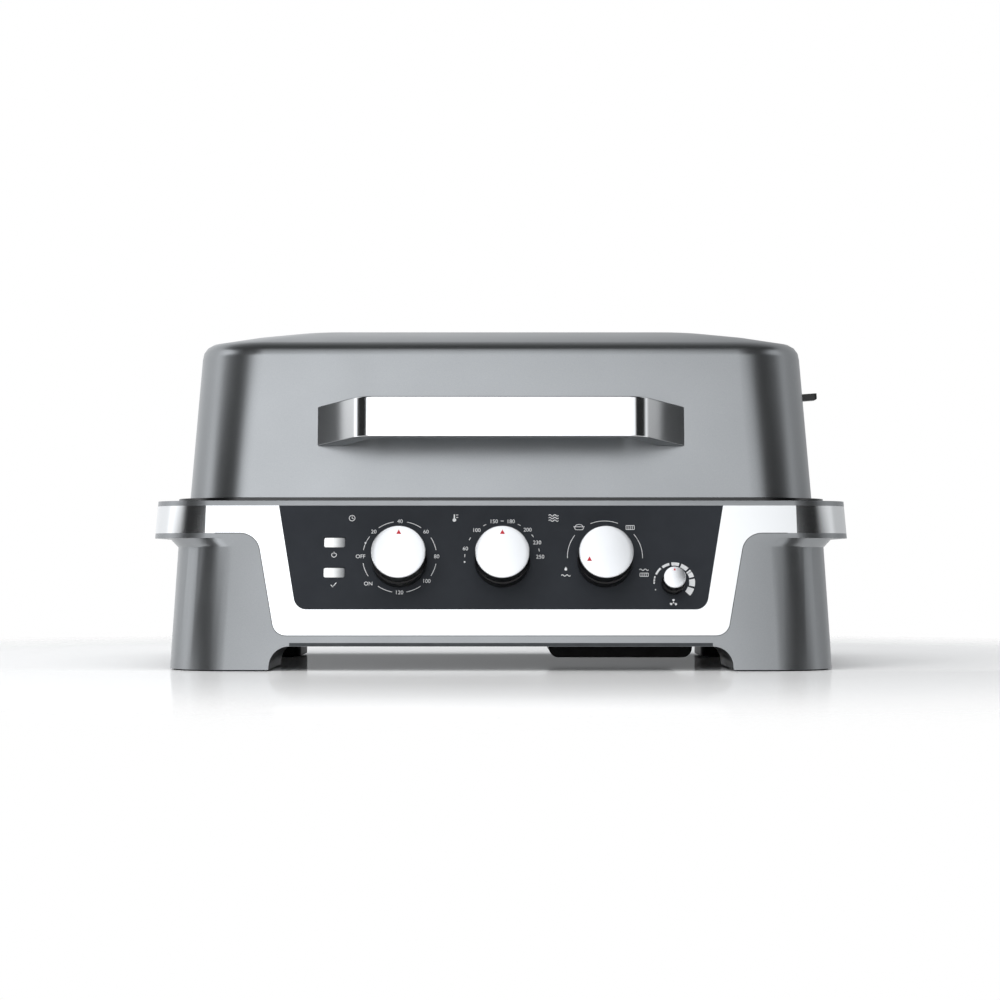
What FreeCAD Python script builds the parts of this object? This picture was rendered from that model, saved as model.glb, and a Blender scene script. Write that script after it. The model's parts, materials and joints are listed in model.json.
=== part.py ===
import FreeCAD, Part

import math
import os

from FreeCAD import Placement, Rotation, Vector

# Electric table grill: a lidded, smoking table grill with four controls and a drip tray.
# Millimetres. The front faces -Y, the table is Z = 0, and the origin is the middle of the footprint.

# Stance
overall_depth = 412.0        # foot of the front face to the back of the wing
front_lean = 16.0            # degrees, how far the front face leans back
pad_proud = 1.0              # the rubber pads lift the legs off the table by this much

# Flat sides of round pieces that stay hidden
small_sides = 12
large_sides = 24

# Fits
running_fit = 0.05           # radial play of a shaft that turns in its bore
moving_gap = 0.3             # play between pieces that move past each other
cut_past = 5.0               # how far a cutting tool runs past the face it cuts
plane_tolerance = 1e-4       # a lofted side this close to a plane is one

# Base housing
body_half = 257.8            # half width of the legs at the foot
body_side_lean = 1.75        # degrees
body_corner = 47.0           # plan radius of the leg corners
body_rear_setback = 8.0      # rear wall in front of the wing's back edge
housing_wall = 3.0
underside_z = 18.7           # bottom edge of the housing between the legs
leg_depth = 115.0
leg_width = 79.6             # foot of a leg, outer face to inner face
leg_inner_lean = 2.3         # the inner face leans in by this much up to the underside
arch_radius = 15.0
wing_bottom_z = 101.9
wing_height = 29.2
wing_overhang = 15.5         # wing's lower edge outside the foot of the leg
wing_side_lean = 2.9         # degrees
wing_corner = 44.0
flare_radius = 7.0           # hollow curve between a leg and the wing above it
flare_steps = 3
boss_width = 10.0            # screw bosses on the side walls
boss_height = 24.0
boss_reach = 12.0            # from the wall to the boss's inner face
boss_sink = 1.0              # boss's root inside the wall
boss_front_gap = 41.0        # front bosses behind the front legs
boss_rear_gap = 58.0         # rear bosses before the rear wall

# Steel belt and apron
belt_margin = 3.9            # painted edge left above and below the belt
belt_rear_setback = 48.0     # the belt stops before the rear corners
fascia_thickness = 1.2
front_rail = 8.2             # painted rail under the apron
apron_edge_gap = 4.5         # apron's foot inside the leg's inner face
apron_flare = 15.5           # the apron is wider by this much on each side at the belt
apron_shoulder_radius = 16.0
apron_foot_radius = 11.0

# Control panel
panel_rise = 20.1            # panel's lower edge above the apron's
panel_edge_gap = 15.9        # panel's lower corner inside the apron's
panel_flare = 14.8           # the panel is wider by this much on each side at the top
panel_corner = 10.0
panel_proud = 0.3
panel_ledge = 5.0            # width of the housing edge that the panel rests on

# Controls, x and z on the panel face
knob_row_x = 1.0
knob_pitch = 79.3
knob_row_z = 84.0
blower_knob_inset = 40.1     # inside the panel's upper corner
blower_knob_z = 66.4
knob_radius = 21.0
knob_height = 27.0
small_knob_radius = 8.8
small_knob_height = 20.5
knob_cap_thickness = 1.6
knob_cap_step = 0.4          # the cap's rim inside the skirt
knob_recess_gap = 0.8        # play round the nut inside a knob
knob_lift = 0.6              # gap under the skirt of a knob
shaft_end_gap = 4.0          # end of the shaft below the knob's cap
shaft_radius = 3.0
small_shaft_radius = 2.0
shaft_flat = 0.6             # depth of the flat on a shaft
shaft_seat = 6.0             # thickness of a control's case behind its shaft
bushing_wall = 2.0
bushing_length = 5.0         # bushing stands out of the panel by this much
bushing_clear = 1.0          # knob hub and shaft flat begin this far above the bushing
nut_thickness = 2.4
nut_across = 1.45            # corner radius of a nut over its bushing's radius
timer_size = (48.0, 48.0, 33.0)
thermostat_size = (42.0, 36.0, 30.0)
switch_size = (40.0, 40.0, 26.0)
dimmer_size = (20.0, 24.0, 15.0)
timer_turret = 9.0           # radius of the clockwork's boss behind the timer
switch_turret = 12.0
turret_height = 4.0

# Lamps
lamp_inset = 43.9            # lamps' middle inside the panel's upper corner
lamp_z = (98.7, 75.4)
lamp_width = 16.2
lamp_height = 7.9
lamp_corner = 1.2
lamp_depth = 4.0
lamp_proud = 0.2
lamp_board_size = (30.0, 44.0, 1.6)
lamp_board_depth = 11.0
lamp_post = (4.0, 8.0)       # width and height of a board's stand-off
bulb_radius = 2.5

# Cooking pan
flange_side_setback = 15.9   # pan flange inside the wing's lower edge
flange_front_setback = 4.6   # behind the deck's front edge
flange_thickness = 2.4
flange_corner = 56.0
pan_side_rim = 25.4          # width of the flange at the sides, front and rear
pan_front_rim = 38.1
pan_rear_rim = 17.8
pan_corner = 32.0
pan_wall = 1.5
pan_clearance = 1.0
ledge_width = 10.0
ledge_drop = 17.1            # ledge for the grate below the deck
pan_depth = 52.5             # ledge to floor
shield_gap = 4.0
shield_wall = 0.8
shield_lip = 3.6
shield_floor_drop = 6.0      # shield floor below the pan floor

# Drain and drip tray
tray_side_gap = 22.9         # between the tray and the right leg's inner face
drain_offset_y = -8.0        # from the middle of the pan
drain_radius = 5.0
spout_wall = 1.2
tray_half = 60.9
tray_front_setback = 73.0    # behind the foot of the front face
tray_length = 190.0
tray_headroom = 1.1          # tray's rim under the bottom cover
tray_depth = 9.9
tray_wall = 1.2
tray_flange = 4.4
tray_flange_start = 14.0     # the flanges begin this far behind the tray's front
tray_front_block = 6.0       # thicker front edge to pull by
tray_corner = 7.7
runner_length = 130.0
runner_sheet = 1.2
runner_foot = 10.0           # width of the runner's foot under the cover
runner_start = 4.0           # behind the front legs

# Bottom cover and feet
cover_sheet = 1.2
cover_lift = 0.3             # cover sits just inside the housing's bottom edge
vent_slot_length = 70.0
vent_slot_width = 4.0
vent_slot_pitch = 13.0
vent_slot_count = 4
vent_group_x = (-170.0, -70.0)
vent_group_offset_y = 7.0    # from the middle of the pan
rear_foot_step = 2.2         # rear foot's inner face inside the front leg's
rear_foot_width = 48.0
rear_foot_back_gap = 15.0    # before the rear wall
rear_foot_length = 84.0
rear_foot_corner = 8.0
rear_foot_wall = 3.0
rear_foot_rim = 8.0          # width of the foot's edge round its sole
rear_foot_web = 2.0          # thickness above the sole
pad_sink = 4.0

# Heating
element_radius = 3.3
element_sides = 6            # the tube is drawn with six sides
element_rise = 30.5          # above the pan's floor
element_pitch = 60.0
element_front_gap = 34.0     # front turns behind the pan's front wall
element_rear_gap = 40.0      # rear turn before the pan's rear wall
element_cold_end = 14.0      # length of a cold end behind the heat shield
bend_slack = 0.01            # keeps a short straight between two bends
bracket_front_gap = 30.0     # front bracket behind the front turns
bracket_rear_gap = 32.0      # rear bracket before the rear turn
bracket_sheet = 2.0
bracket_leg = 6.0
bracket_foot = 12.0
bracket_foot_sheet = 1.5
bracket_overhang = 12.0      # bar past the outer passes
bracket_drop = 7.0           # bar's lower edge below the tube's middle
bracket_rise = 2.5           # bar's upper edge above the tube
probe_drop = 6.0             # probe below the row of knobs
probe_radius = 3.0
probe_length = 42.0
probe_collar = 3.0
capillary_radius = 1.1
igniter_radius = 4.0
igniter_start = 20.0         # behind the smoker box's front
igniter_cold_end = 10.0

# Grill grate
grate_gap = 2.0
grate_smoker_gap = 9.0       # the grate leaves room for the smoker box on its right
grate_corner = 26.0
grate_plate = 4.0
rib_height = 9.0
rib_width_foot = 6.0
rib_width_top = 3.0
rib_sink = 0.5               # a rib's foot inside the plate
rib_pitch = 16.0
slot_width = 5.0
slot_end_gap = 6.0           # slots stop short of the ribs' ends
slot_bridge = 16.0           # web across the middle of the plate
grate_frame_width = 10.0

# Smoker box
smoker_width = 38.0
smoker_side_gap = 1.0
smoker_offset_y = -73.0      # front end, from the middle of the pan
smoker_length = 140.0
smoker_rise = 22.5           # above the pan's floor
smoker_height = 37.0
smoker_sheet = 1.2
smoker_corner = 5.0
smoker_slots = 6             # smoke slots in each long side
smoker_slot_width = 3.0
smoker_slot_foot = 6.0
smoker_slot_height = 16.0
smoker_pin_radius = 1.5
smoker_pin_out = 0.6         # hinge axis outside the box's wall
smoker_pin_up = 1.6          # and above its rim
smoker_ear = 3.0
smoker_ear_drop = 5.0
smoker_ear_rise = 4.0
smoker_ear_inset = 6.0
smoker_pin_inset = 4.0
smoker_cover_notch = 6.0     # depth of the cover's notches round the ears
smoker_knob_radius = 5.0
smoker_knob_height = 7.0
smoker_knob_inset = 10.0
holder_slots = 5
holder_slot = 8.0

# Blower under the pan
blower_offset_x = 75.0       # wheel's axis left of the chimney
blower_offset_y = 42.0       # from the middle of the pan
blower_radius = 42.0
blower_height = 23.8
blower_wall = 1.5
blower_inlet_radius = 24.0
blower_duct_width = 20.0
chimney_edge_gap = 7.0       # chimney inside the pan's side wall
impeller_radius = 35.0
impeller_height = 15.0
impeller_plate = 1.5
impeller_gap = 1.5           # back plate below the scroll's roof
impeller_hub_radius = 7.0
hub_foot_gap = 3.0           # hub above the lower edges of the blades
blade_count = 12
blade_thickness = 1.6
blade_turn = 28.0            # degrees
blade_edge = 1.0             # blades stop short of the plate's rim
blade_start = 14.0           # radius of a blade's inner end
blade_shift = 4.5            # blades set sideways from the hub's radius
shaft_hole_gap = 1.0
motor_radius = 18.0
motor_height = 9.0
motor_end_wall = 1.5

# Lid
lid_gap = 0.3                # lid edge above the pan flange
lid_side_setback = 9.0       # lid's lower edge inside the flange
lid_front_setback = 7.4      # behind the deck's front edge
lid_rear_setback = 39.0      # before the wing's back edge
lid_side_height = 112.0      # lower edge to the start of the shoulder
lid_side_lean = 4.2          # degrees, also the rear wall
lid_front_lean = 6.0         # degrees
lid_corner = 54.0
shoulder_radius = 12.0
shoulder_sweep = 72.0        # degrees of the shoulder's arc
shoulder_steps = 3
crown_rise = 24.2            # flat top above the start of the shoulder
crown_side_setback = 103.4   # flat top inside the lid's lower edge
crown_front_setback = 81.3
crown_rear_setback = 75.0
crown_steps = 3
lid_wall = 2.0
liner_gap = 6.0
liner_sheet = 0.8
liner_brim = 1.2

# Lid handle
handle_rise = 55.7           # middle of the handle's foot above the lid's lower edge
handle_half = 143.8
handle_height = 31.2
handle_reach = 50.0
handle_elbow = 108.2         # half width where arm and bar would meet
handle_elbow_radius = 19.0
handle_inner_radius = 15.0
handle_bar = 10.0
handle_arm = 19.8            # width of an arm along the lid
handle_edge = 1.2
handle_screw_radius = 2.5
handle_screw_length = 12.0
handle_screw_head = (4.5, 2.4)   # radius and thickness

# Hinge
hinge_x = 150.0
hinge_rear_setback = 22.0    # axis before the wing's back edge
hinge_rise = 11.9            # axis above the deck
hinge_eye_radius = 8.0
hinge_pin_radius = 3.0
hinge_pin_head = (4.6, 1.5)  # radius and thickness
hinge_arm_width = 18.0
hinge_arm_plate = 4.0
hinge_arm_foot = 3.0         # above the lid's lower edge
hinge_arm_height = 38.2      # above the lid's lower edge
hinge_arm_toe = 8.0
hinge_ear = 3.0
hinge_ear_chamfer = 3.0
hinge_plate = 2.0
hinge_plate_front = 2.0      # plate before the eye
hinge_plate_rear = 8.0       # plate behind the eye
hinge_notch = 2.0

# Lid vent
vent_setback = 95.3          # behind the lid's front edge
vent_drop = 28.8             # below the shoulder
vent_row_drop = 12.0         # row of holes below the tab
vent_hole_radius = 5.0
vent_hole_pitch = 20.0
vent_travel = 10.0
damper_sheet = 1.2
damper_edge = 3.0            # plate below the row of holes
damper_head = 2.0            # plate above the tab
damper_tab_reach = 15.0
damper_tab_height = 5.4
damper_tab_width = 12.0
damper_tab_round = 2.0
liner_window_edge = 2.0

# Rear of the base
inlet_x = -150.0
inlet_z = 52.0
inlet_width = 28.0
inlet_height = 21.0
inlet_depth = 24.0
inlet_flange = 5.0
inlet_flange_edge = 2.0
inlet_flange_sheet = 1.8
inlet_shell = 2.0
inlet_socket_depth = 17.0
inlet_chamfer = 5.0
inlet_socket_round = 1.5
inlet_pin = (2.0, 4.0, 13.0)     # width, height and length
inlet_pin_root = 2.0         # pins reach this far into the socket's floor
inlet_pin_places = ((-7.0, -2.0), (7.0, -2.0), (0.0, 2.0))
terminal_size = (60.0, 20.0, 14.0)
terminal_x = -60.0
terminal_setback = 26.0      # before the rear wall
terminal_poles = 5
terminal_gap = 2.4           # between the poles' blocks
terminal_base_drop = 4.0
terminal_pole_depth = 12.0
terminal_well = 4.4
terminal_well_depth = 5.0
screw_radius = 2.0
screw_grip = 9.0             # thread length in the boss
screw_hole_depth = 12.0
screw_head_radius = 3.8
screw_head_height = 2.2

# Worked-out places
foot_z = pad_proud
deck_z = wing_bottom_z + wing_height
belt_bottom_z = wing_bottom_z + belt_margin
belt_top_z = deck_z - belt_margin
front_foot_y = -overall_depth / 2
rear_y = overall_depth / 2
body_rear_y = rear_y - body_rear_setback
belt_end_y = rear_y - belt_rear_setback
leg_back_y = front_foot_y + leg_depth
leg_inner_half = body_half - leg_width
wing_half = body_half + wing_overhang
lean = math.tan(math.radians(front_lean))
slant = math.cos(math.radians(front_lean))
deck_front_y = front_foot_y + (deck_z - foot_z) * lean
deck_under_z = deck_z - housing_wall
boss_places_y = (leg_back_y + boss_front_gap, body_rear_y - boss_rear_gap)

apron_bottom_z = underside_z + front_rail
apron_half_bottom = leg_inner_half - apron_edge_gap
apron_half_top = apron_half_bottom + apron_flare
panel_bottom_z = apron_bottom_z + panel_rise
panel_half_bottom = apron_half_bottom - panel_edge_gap
panel_half_top = panel_half_bottom + panel_flare
panel_thickness = fascia_thickness + panel_proud
panel_back = -panel_thickness * slant    # back of the panel, along a control's axis
through_front = (front_foot_y - cut_past, deck_front_y + 2 * cut_past)    # y of a cut through the front
blower_knob_x = panel_half_top - blower_knob_inset
lamp_x = -panel_half_top + lamp_inset

flange_top_z = deck_z + flange_thickness
flange_front_y = deck_front_y + flange_front_setback
flange_half = wing_half - flange_side_setback
lid_bottom_z = flange_top_z + lid_gap
lid_half = flange_half - lid_side_setback
lid_front_y = deck_front_y + lid_front_setback
lid_rear_y = rear_y - lid_rear_setback
flange_rear_y = lid_rear_y + (lid_front_y - flange_front_y)
shoulder_z = lid_bottom_z + lid_side_height
crown_top_z = shoulder_z + crown_rise
crown_half = lid_half - crown_side_setback
crown_front_y = lid_front_y + crown_front_setback
crown_rear_y = lid_rear_y - crown_rear_setback
handle_z = lid_bottom_z + handle_rise
vent_y = lid_front_y + vent_setback
vent_z = shoulder_z - vent_drop
hinge_axis_y = rear_y - hinge_rear_setback
hinge_axis_z = deck_z + hinge_rise
hinge_arm_top_z = lid_bottom_z + hinge_arm_height

pan_half = flange_half - pan_side_rim
pan_front_y = flange_front_y + pan_front_rim
pan_rear_y = flange_rear_y - pan_rear_rim
pan_middle_y = (pan_front_y + pan_rear_y) / 2
pan_outer_half = pan_half + pan_wall
pan_low_half = pan_half - ledge_width
pan_low_front_y = pan_front_y + ledge_width
pan_low_rear_y = pan_rear_y - ledge_width
pan_low_corner = pan_corner - ledge_width / 2
ledge_z = deck_z - ledge_drop
pan_floor_z = ledge_z - pan_depth
shield_floor_z = pan_floor_z - pan_wall - shield_floor_drop
shield_front_y = pan_front_y - pan_wall - shield_gap - shield_wall
shield_rear_y = pan_rear_y + pan_wall + shield_gap + shield_wall

smoker_left = pan_low_half - smoker_side_gap - smoker_width
smoker_right = pan_low_half - 2 * smoker_side_gap
smoker_front_y = pan_middle_y + smoker_offset_y
smoker_base_z = pan_floor_z + smoker_rise
smoker_top_z = smoker_base_z + smoker_height
grate_left = -pan_half + grate_gap
grate_right = smoker_left - grate_smoker_gap
element_middle_x = (grate_left + grate_right) / 2
element_z = pan_floor_z + element_rise
element_front_y = pan_front_y + element_front_gap
element_rear_y = pan_rear_y - element_rear_gap
probe_z = knob_row_z - probe_drop

cover_bottom_z = underside_z + cover_lift
cover_top_z = cover_bottom_z + cover_sheet
wall_inner_half = body_half - housing_wall - (cover_top_z - foot_z) * math.tan(math.radians(body_side_lean))
boss_x = wall_inner_half - boss_reach + boss_width / 2
rear_foot_inner = leg_inner_half - rear_foot_step
rear_foot_front_y = body_rear_y - rear_foot_back_gap - rear_foot_length
terminal_y = body_rear_y - terminal_setback
drain_x = leg_inner_half - tray_side_gap - tray_half
drain_y = pan_middle_y + drain_offset_y
tray_top_z = cover_bottom_z - tray_headroom
tray_bottom_z = tray_top_z - tray_depth
tray_front_y = front_foot_y + tray_front_setback
runner_front_y = leg_back_y + arch_radius + housing_wall + runner_start
blower_top_z = cover_top_z + blower_height
chimney_x = pan_low_half - chimney_edge_gap - blower_duct_width / 2
blower_x = chimney_x - blower_offset_x
blower_y = pan_middle_y + blower_offset_y


# General shapes

def rounded_wire(points, radii, place):
    """Closed outline through the points, its corners rounded by their radii; place gives the 3-D point."""
    flat = [Vector(u, v, 0) for u, v in points]
    arrive = []
    leave = []
    middle = []
    for i, corner in enumerate(flat):
        if radii[i] == 0:
            arrive.append(corner)
            leave.append(corner)
            middle.append(None)
            continue
        back = (flat[i - 1] - corner).normalize()
        ahead = (flat[(i + 1) % len(flat)] - corner).normalize()
        half = back.getAngle(ahead) / 2
        toward = (back + ahead).normalize()
        centre = corner + toward * (radii[i] / math.sin(half))
        arrive.append(corner + back * (radii[i] / math.tan(half)))
        leave.append(corner + ahead * (radii[i] / math.tan(half)))
        middle.append(centre - toward * radii[i])
    edges = []
    for i in range(len(flat)):
        before = leave[i - 1]
        if (arrive[i] - before).Length > 1e-6:
            edges.append(Part.makeLine(place(before.x, before.y), place(arrive[i].x, arrive[i].y)))
        if middle[i] is not None:
            ends = [place(p.x, p.y) for p in (arrive[i], middle[i], leave[i])]
            edges.append(Part.Arc(*ends).toShape())
    return Part.Wire(edges)


def plan_wire(x0, x1, y0, y1, corner, z):
    """Rounded rectangle seen from above, at height z."""
    points = [(x0, y0), (x1, y0), (x1, y1), (x0, y1)]
    return rounded_wire(points, [corner] * 4, lambda u, v: Vector(u, v, z))


def plan_block(x0, x1, y0, y1, corner, z0, z1):
    """Upright block with a rounded rectangle as its plan."""
    return Part.Face(plan_wire(x0, x1, y0, y1, corner, z0)).extrude(Vector(0, 0, z1 - z0))


def front_prism(points, radii, y0, y1):
    """Outline seen from the front (x, z), drawn out along Y."""
    wire = rounded_wire(points, radii, lambda u, v: Vector(u, y0, v))
    return Part.Face(wire).extrude(Vector(0, y1 - y0, 0))


def side_prism(points, radii, x0, x1):
    """Outline seen from the side (y, z), drawn out along X."""
    wire = rounded_wire(points, radii, lambda u, v: Vector(x0, u, v))
    return Part.Face(wire).extrude(Vector(x1 - x0, 0, 0))


def block(x0, x1, y0, y1, z0, z1):
    """Square block; the two values of each pair may come in either order."""
    low = Vector(min(x0, x1), min(y0, y1), min(z0, z1))
    high = Vector(max(x0, x1), max(y0, y1), max(z0, z1))
    return Part.makeBox(high.x - low.x, high.y - low.y, high.z - low.z, low)


def rod(radius, start, end):
    """Round bar between two points."""
    run = end - start
    return Part.makeCylinder(radius, run.Length, start, run)


def upright_rod(radius, x, y, z0, z1):
    return rod(radius, Vector(x, y, z0), Vector(x, y, z1))


def cross_rod(radius, x0, x1, y, z):
    """Round bar along X."""
    return rod(radius, Vector(x0, y, z), Vector(x1, y, z))


def sided_rod(radius, sides, start, end):
    """Straight bar with flat sides between two points, its corners at the radius."""
    run = end - start
    corners = []
    for i in range(sides + 1):
        angle = 2 * math.pi * i / sides
        corners.append(Vector(radius * math.cos(angle), radius * math.sin(angle), 0))
    bar = Part.Face(Part.makePolygon(corners)).extrude(Vector(0, 0, run.Length))
    return put(bar, Placement(start, Rotation(Vector(0, 0, 1), run)))


def upright_sided(radius, sides, x, y, z0, z1):
    return sided_rod(radius, sides, Vector(x, y, z0), Vector(x, y, z1))


def skin_loft(wires):
    """Solid with straight sides through a stack of outlines; its flat faces are true planes."""
    faces = []
    for face in Part.makeLoft(wires, True, True).Faces:
        plane = face.findPlane(plane_tolerance)
        if plane is None:
            faces.append(face)
            continue
        u0, u1, v0, v1 = face.ParameterRange
        outward = face.normalAt((u0 + u1) / 2, (v0 + v1) / 2)
        flat = Part.Face(plane, face.OuterWire)
        if flat.normalAt(0, 0).dot(outward) < 0:
            flat.reverse()
        faces.append(flat)
    return Part.makeSolid(Part.makeShell(faces))


def fuse_all(shapes):
    return shapes[0].fuse(shapes[1:])


def mirrored(shape):
    """The same piece on the other side of the middle."""
    return shape.mirror(Vector(0, 0, 0), Vector(1, 0, 0))


def put(shape, frame):
    """A copy of a piece made at the origin, moved into its frame."""
    moved = shape.copy()
    moved.Placement = frame.multiply(moved.Placement)
    return moved


def tube_path(points, radius):
    """Open run of straight lines joined by arcs of one radius."""
    edges = []
    start = points[0]
    for i in range(1, len(points) - 1):
        corner = points[i]
        back = (points[i - 1] - corner).normalize()
        ahead = (points[i + 1] - corner).normalize()
        half = back.getAngle(ahead) / 2
        toward = (back + ahead).normalize()
        first = corner + back * (radius / math.tan(half))
        last = corner + ahead * (radius / math.tan(half))
        middle = corner + toward * (radius / math.sin(half) - radius)
        if (first - start).Length > 1e-6:
            edges.append(Part.makeLine(start, first))
        edges.append(Part.Arc(first, middle, last).toShape())
        start = last
    edges.append(Part.makeLine(start, points[-1]))
    return Part.Wire(edges)


def swept_bar(points, bend, radius, sides):
    """Many-sided bar swept along a level path whose first run is along Y."""
    path = tube_path(points, bend)
    corners = []
    for i in range(sides + 1):
        angle = 2 * math.pi * (i + 0.5) / sides
        corners.append(points[0] + Vector(radius * math.cos(angle), 0, radius * math.sin(angle)))
    return path.makePipeShell([Part.makePolygon(corners)], True, False)


# Faces that lean

def front_y(z):
    """Front face of the base at height z."""
    return front_foot_y + (z - foot_z) * lean


def lid_front_at(z):
    return lid_front_y + (z - lid_bottom_z) * math.tan(math.radians(lid_front_lean))


def lid_rear_at(z):
    return lid_rear_y - (z - lid_bottom_z) * math.tan(math.radians(lid_side_lean))


def lid_half_at(z):
    return lid_half - (z - lid_bottom_z) * math.tan(math.radians(lid_side_lean))


def on_panel(x, z):
    """Frame on the panel's outer face: local Z points out of the panel, local Y up along it."""
    tilt = Rotation(Vector(1, 0, 0), 90 - front_lean)
    out = tilt.multVec(Vector(0, 0, 1))
    return Placement(Vector(x, front_y(z), z) + out * (panel_proud * slant), tilt)


def on_lid_front(x, z):
    """Frame on the lid's front face, local Z pointing out."""
    return Placement(Vector(x, lid_front_at(z), z), Rotation(Vector(1, 0, 0), 90 - lid_front_lean))


def on_lid_side(y, z):
    """Frame on the lid's right face, local Z pointing out and local X along +Y."""
    turn = Rotation(Vector(0, 1, 0), 90 - lid_side_lean).multiply(Rotation(Vector(0, 0, 1), 90))
    return Placement(Vector(lid_half_at(z), y, z), turn)


# Outlines of the base

def body_wire(z, inset, grow=0.0):
    """Outline of the legs and walls; grow widens the sides and back but not the front face."""
    half = body_half - (z - foot_z) * math.tan(math.radians(body_side_lean)) + grow - inset
    return plan_wire(-half, half, front_y(z) + inset, body_rear_y + grow - inset, body_corner - inset, z)


def wing_wire(z, inset):
    half = wing_half - (z - wing_bottom_z) * math.tan(math.radians(wing_side_lean)) - inset
    return plan_wire(-half, half, front_y(z) + inset, rear_y - inset, wing_corner - inset, z)


def arch_prism(offset, y0, y1):
    """The gap between the legs seen from the front, grown by offset."""
    top = underside_z + offset
    foot = leg_inner_half + offset
    radius = arch_radius + offset
    head = foot - leg_inner_lean
    points = [(-foot, -cut_past), (-head, top), (head, top), (foot, -cut_past)]
    return front_prism(points, [0, radius, radius, 0], y0, y1)


def side_arch_prism(offset, y1):
    """The gap behind the front legs seen from the side, grown by offset."""
    top = underside_z + offset
    start = leg_back_y - offset
    reach = wing_half + cut_past
    points = [(start, -cut_past), (start + leg_inner_lean, top), (y1, top), (y1, -cut_past)]
    return side_prism(points, [0, arch_radius + offset, 0, 0], -reach, reach)


def apron_prism():
    """Outline of the belt's front and the apron below it."""
    reach = wing_half - wing_corner
    shoulder = apron_shoulder_radius
    foot = apron_foot_radius
    points = [
        (-reach, belt_bottom_z), (-apron_half_top, belt_bottom_z),
        (-apron_half_bottom, apron_bottom_z), (apron_half_bottom, apron_bottom_z),
        (apron_half_top, belt_bottom_z), (reach, belt_bottom_z),
        (reach, belt_top_z), (-reach, belt_top_z),
    ]
    return front_prism(points, [0, shoulder, foot, foot, shoulder, 0, 0, 0], *through_front)


def panel_prism(inset):
    """Outline of the control panel, made smaller by inset."""
    slope = (panel_half_top - panel_half_bottom) / (belt_top_z - panel_bottom_z)
    bottom = panel_bottom_z + inset
    top = belt_top_z - inset
    half_bottom = panel_half_bottom + slope * inset - inset
    half_top = panel_half_top - slope * inset - inset
    points = [(-half_bottom, bottom), (half_bottom, bottom), (half_top, top), (-half_top, top)]
    return front_prism(points, [panel_corner, panel_corner, 0, 0], *through_front)


def front_slab(near, far):
    """Layer of the leaning front face between two depths behind it."""
    points = [
        (front_y(foot_z) + near, foot_z), (front_y(deck_z) + near, deck_z),
        (front_y(deck_z) + far, deck_z), (front_y(foot_z) + far, foot_z),
    ]
    return side_prism(points, [0] * 4, -wing_half, wing_half)


def boss_places():
    """Screws of the bottom cover, along both side walls: side, x and y."""
    return [(side, side * boss_x, y) for side in (-1, 1) for y in boss_places_y]


# Base pieces

def fascia_blank():
    """Steel belt round the wing and apron down the front, before the panel's opening is cut."""
    outer = skin_loft([wing_wire(belt_bottom_z, 0), wing_wire(belt_top_z, 0)])
    inner = skin_loft([wing_wire(belt_bottom_z, fascia_thickness), wing_wire(belt_top_z, fascia_thickness)])
    rear = block(-wing_half, wing_half, belt_end_y, rear_y + cut_past, 0, deck_z)
    belt = outer.cut(inner).cut(rear)
    apron = apron_prism().common(front_slab(0, fascia_thickness))
    return belt.fuse(apron).removeSplitter()


def make_base_housing():
    """Moulded shell: legs and walls that flare out into the wing, open below and round the pan."""
    sections = [body_wire(foot_z, 0), body_wire(wing_bottom_z - flare_radius, 0)]
    for step in range(1, flare_steps + 1):
        angle = math.radians(90.0 * step / flare_steps)
        z = wing_bottom_z - flare_radius * math.cos(angle)
        sections.append(body_wire(z, 0, flare_radius * (1 - math.cos(angle))))
    legs = skin_loft(sections)
    wing = skin_loft([wing_wire(wing_bottom_z, 0), wing_wire(deck_z, 0)])
    outer = legs.fuse(wing).removeSplitter()
    outer = outer.cut(arch_prism(0, front_foot_y - cut_past, rear_y + cut_past))
    outer = outer.cut(side_arch_prism(0, rear_y + cut_past))

    wing_floor = wing_bottom_z + housing_wall
    cavity = skin_loft([body_wire(0, housing_wall), body_wire(wing_floor, housing_wall)])
    wing_cavity = skin_loft([wing_wire(wing_floor, housing_wall), wing_wire(deck_under_z, housing_wall)])
    cavity = cavity.fuse(wing_cavity)
    cavity = cavity.cut(arch_prism(housing_wall, front_foot_y - cut_past, leg_back_y))
    cavity = cavity.cut(side_arch_prism(housing_wall, leg_back_y + arch_radius + housing_wall))
    housing = outer.cut(cavity)

    clear = pan_wall + pan_clearance
    pan_hole = plan_block(
        -pan_half - clear, pan_half + clear, pan_front_y - clear, pan_rear_y + clear,
        pan_corner + clear, deck_under_z - cut_past, deck_z + cut_past)
    housing = housing.cut(pan_hole).cut(fascia_blank())
    housing = housing.cut(panel_prism(0).common(front_slab(-panel_proud, fascia_thickness)))
    housing = housing.cut(panel_prism(panel_ledge))

    for side, x, y in boss_places():
        boss = block(
            side * (wall_inner_half - boss_reach), side * (wall_inner_half + boss_sink),
            y - boss_width / 2, y + boss_width / 2, cover_top_z, cover_top_z + boss_height)
        bore = upright_rod(screw_radius, x, y, cover_top_z, cover_top_z + screw_hole_depth)
        housing = housing.fuse(boss).cut(bore)
    inlet = block(
        inlet_x - inlet_width / 2, inlet_x + inlet_width / 2,
        body_rear_y - housing_wall - cut_past, body_rear_y + cut_past,
        inlet_z - inlet_height / 2, inlet_z + inlet_height / 2)
    return housing.cut(inlet).removeSplitter()


def make_front_fascia():
    return fascia_blank().cut(panel_prism(0)).removeSplitter()


def lamp_block(z):
    """One lamp's lens, also the window that it sits in."""
    half_x = lamp_width / 2
    half_y = lamp_height / 2
    lens = plan_block(-half_x, half_x, -half_y, half_y, lamp_corner, -lamp_depth, lamp_proud)
    return put(lens, on_panel(lamp_x, z))


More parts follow.
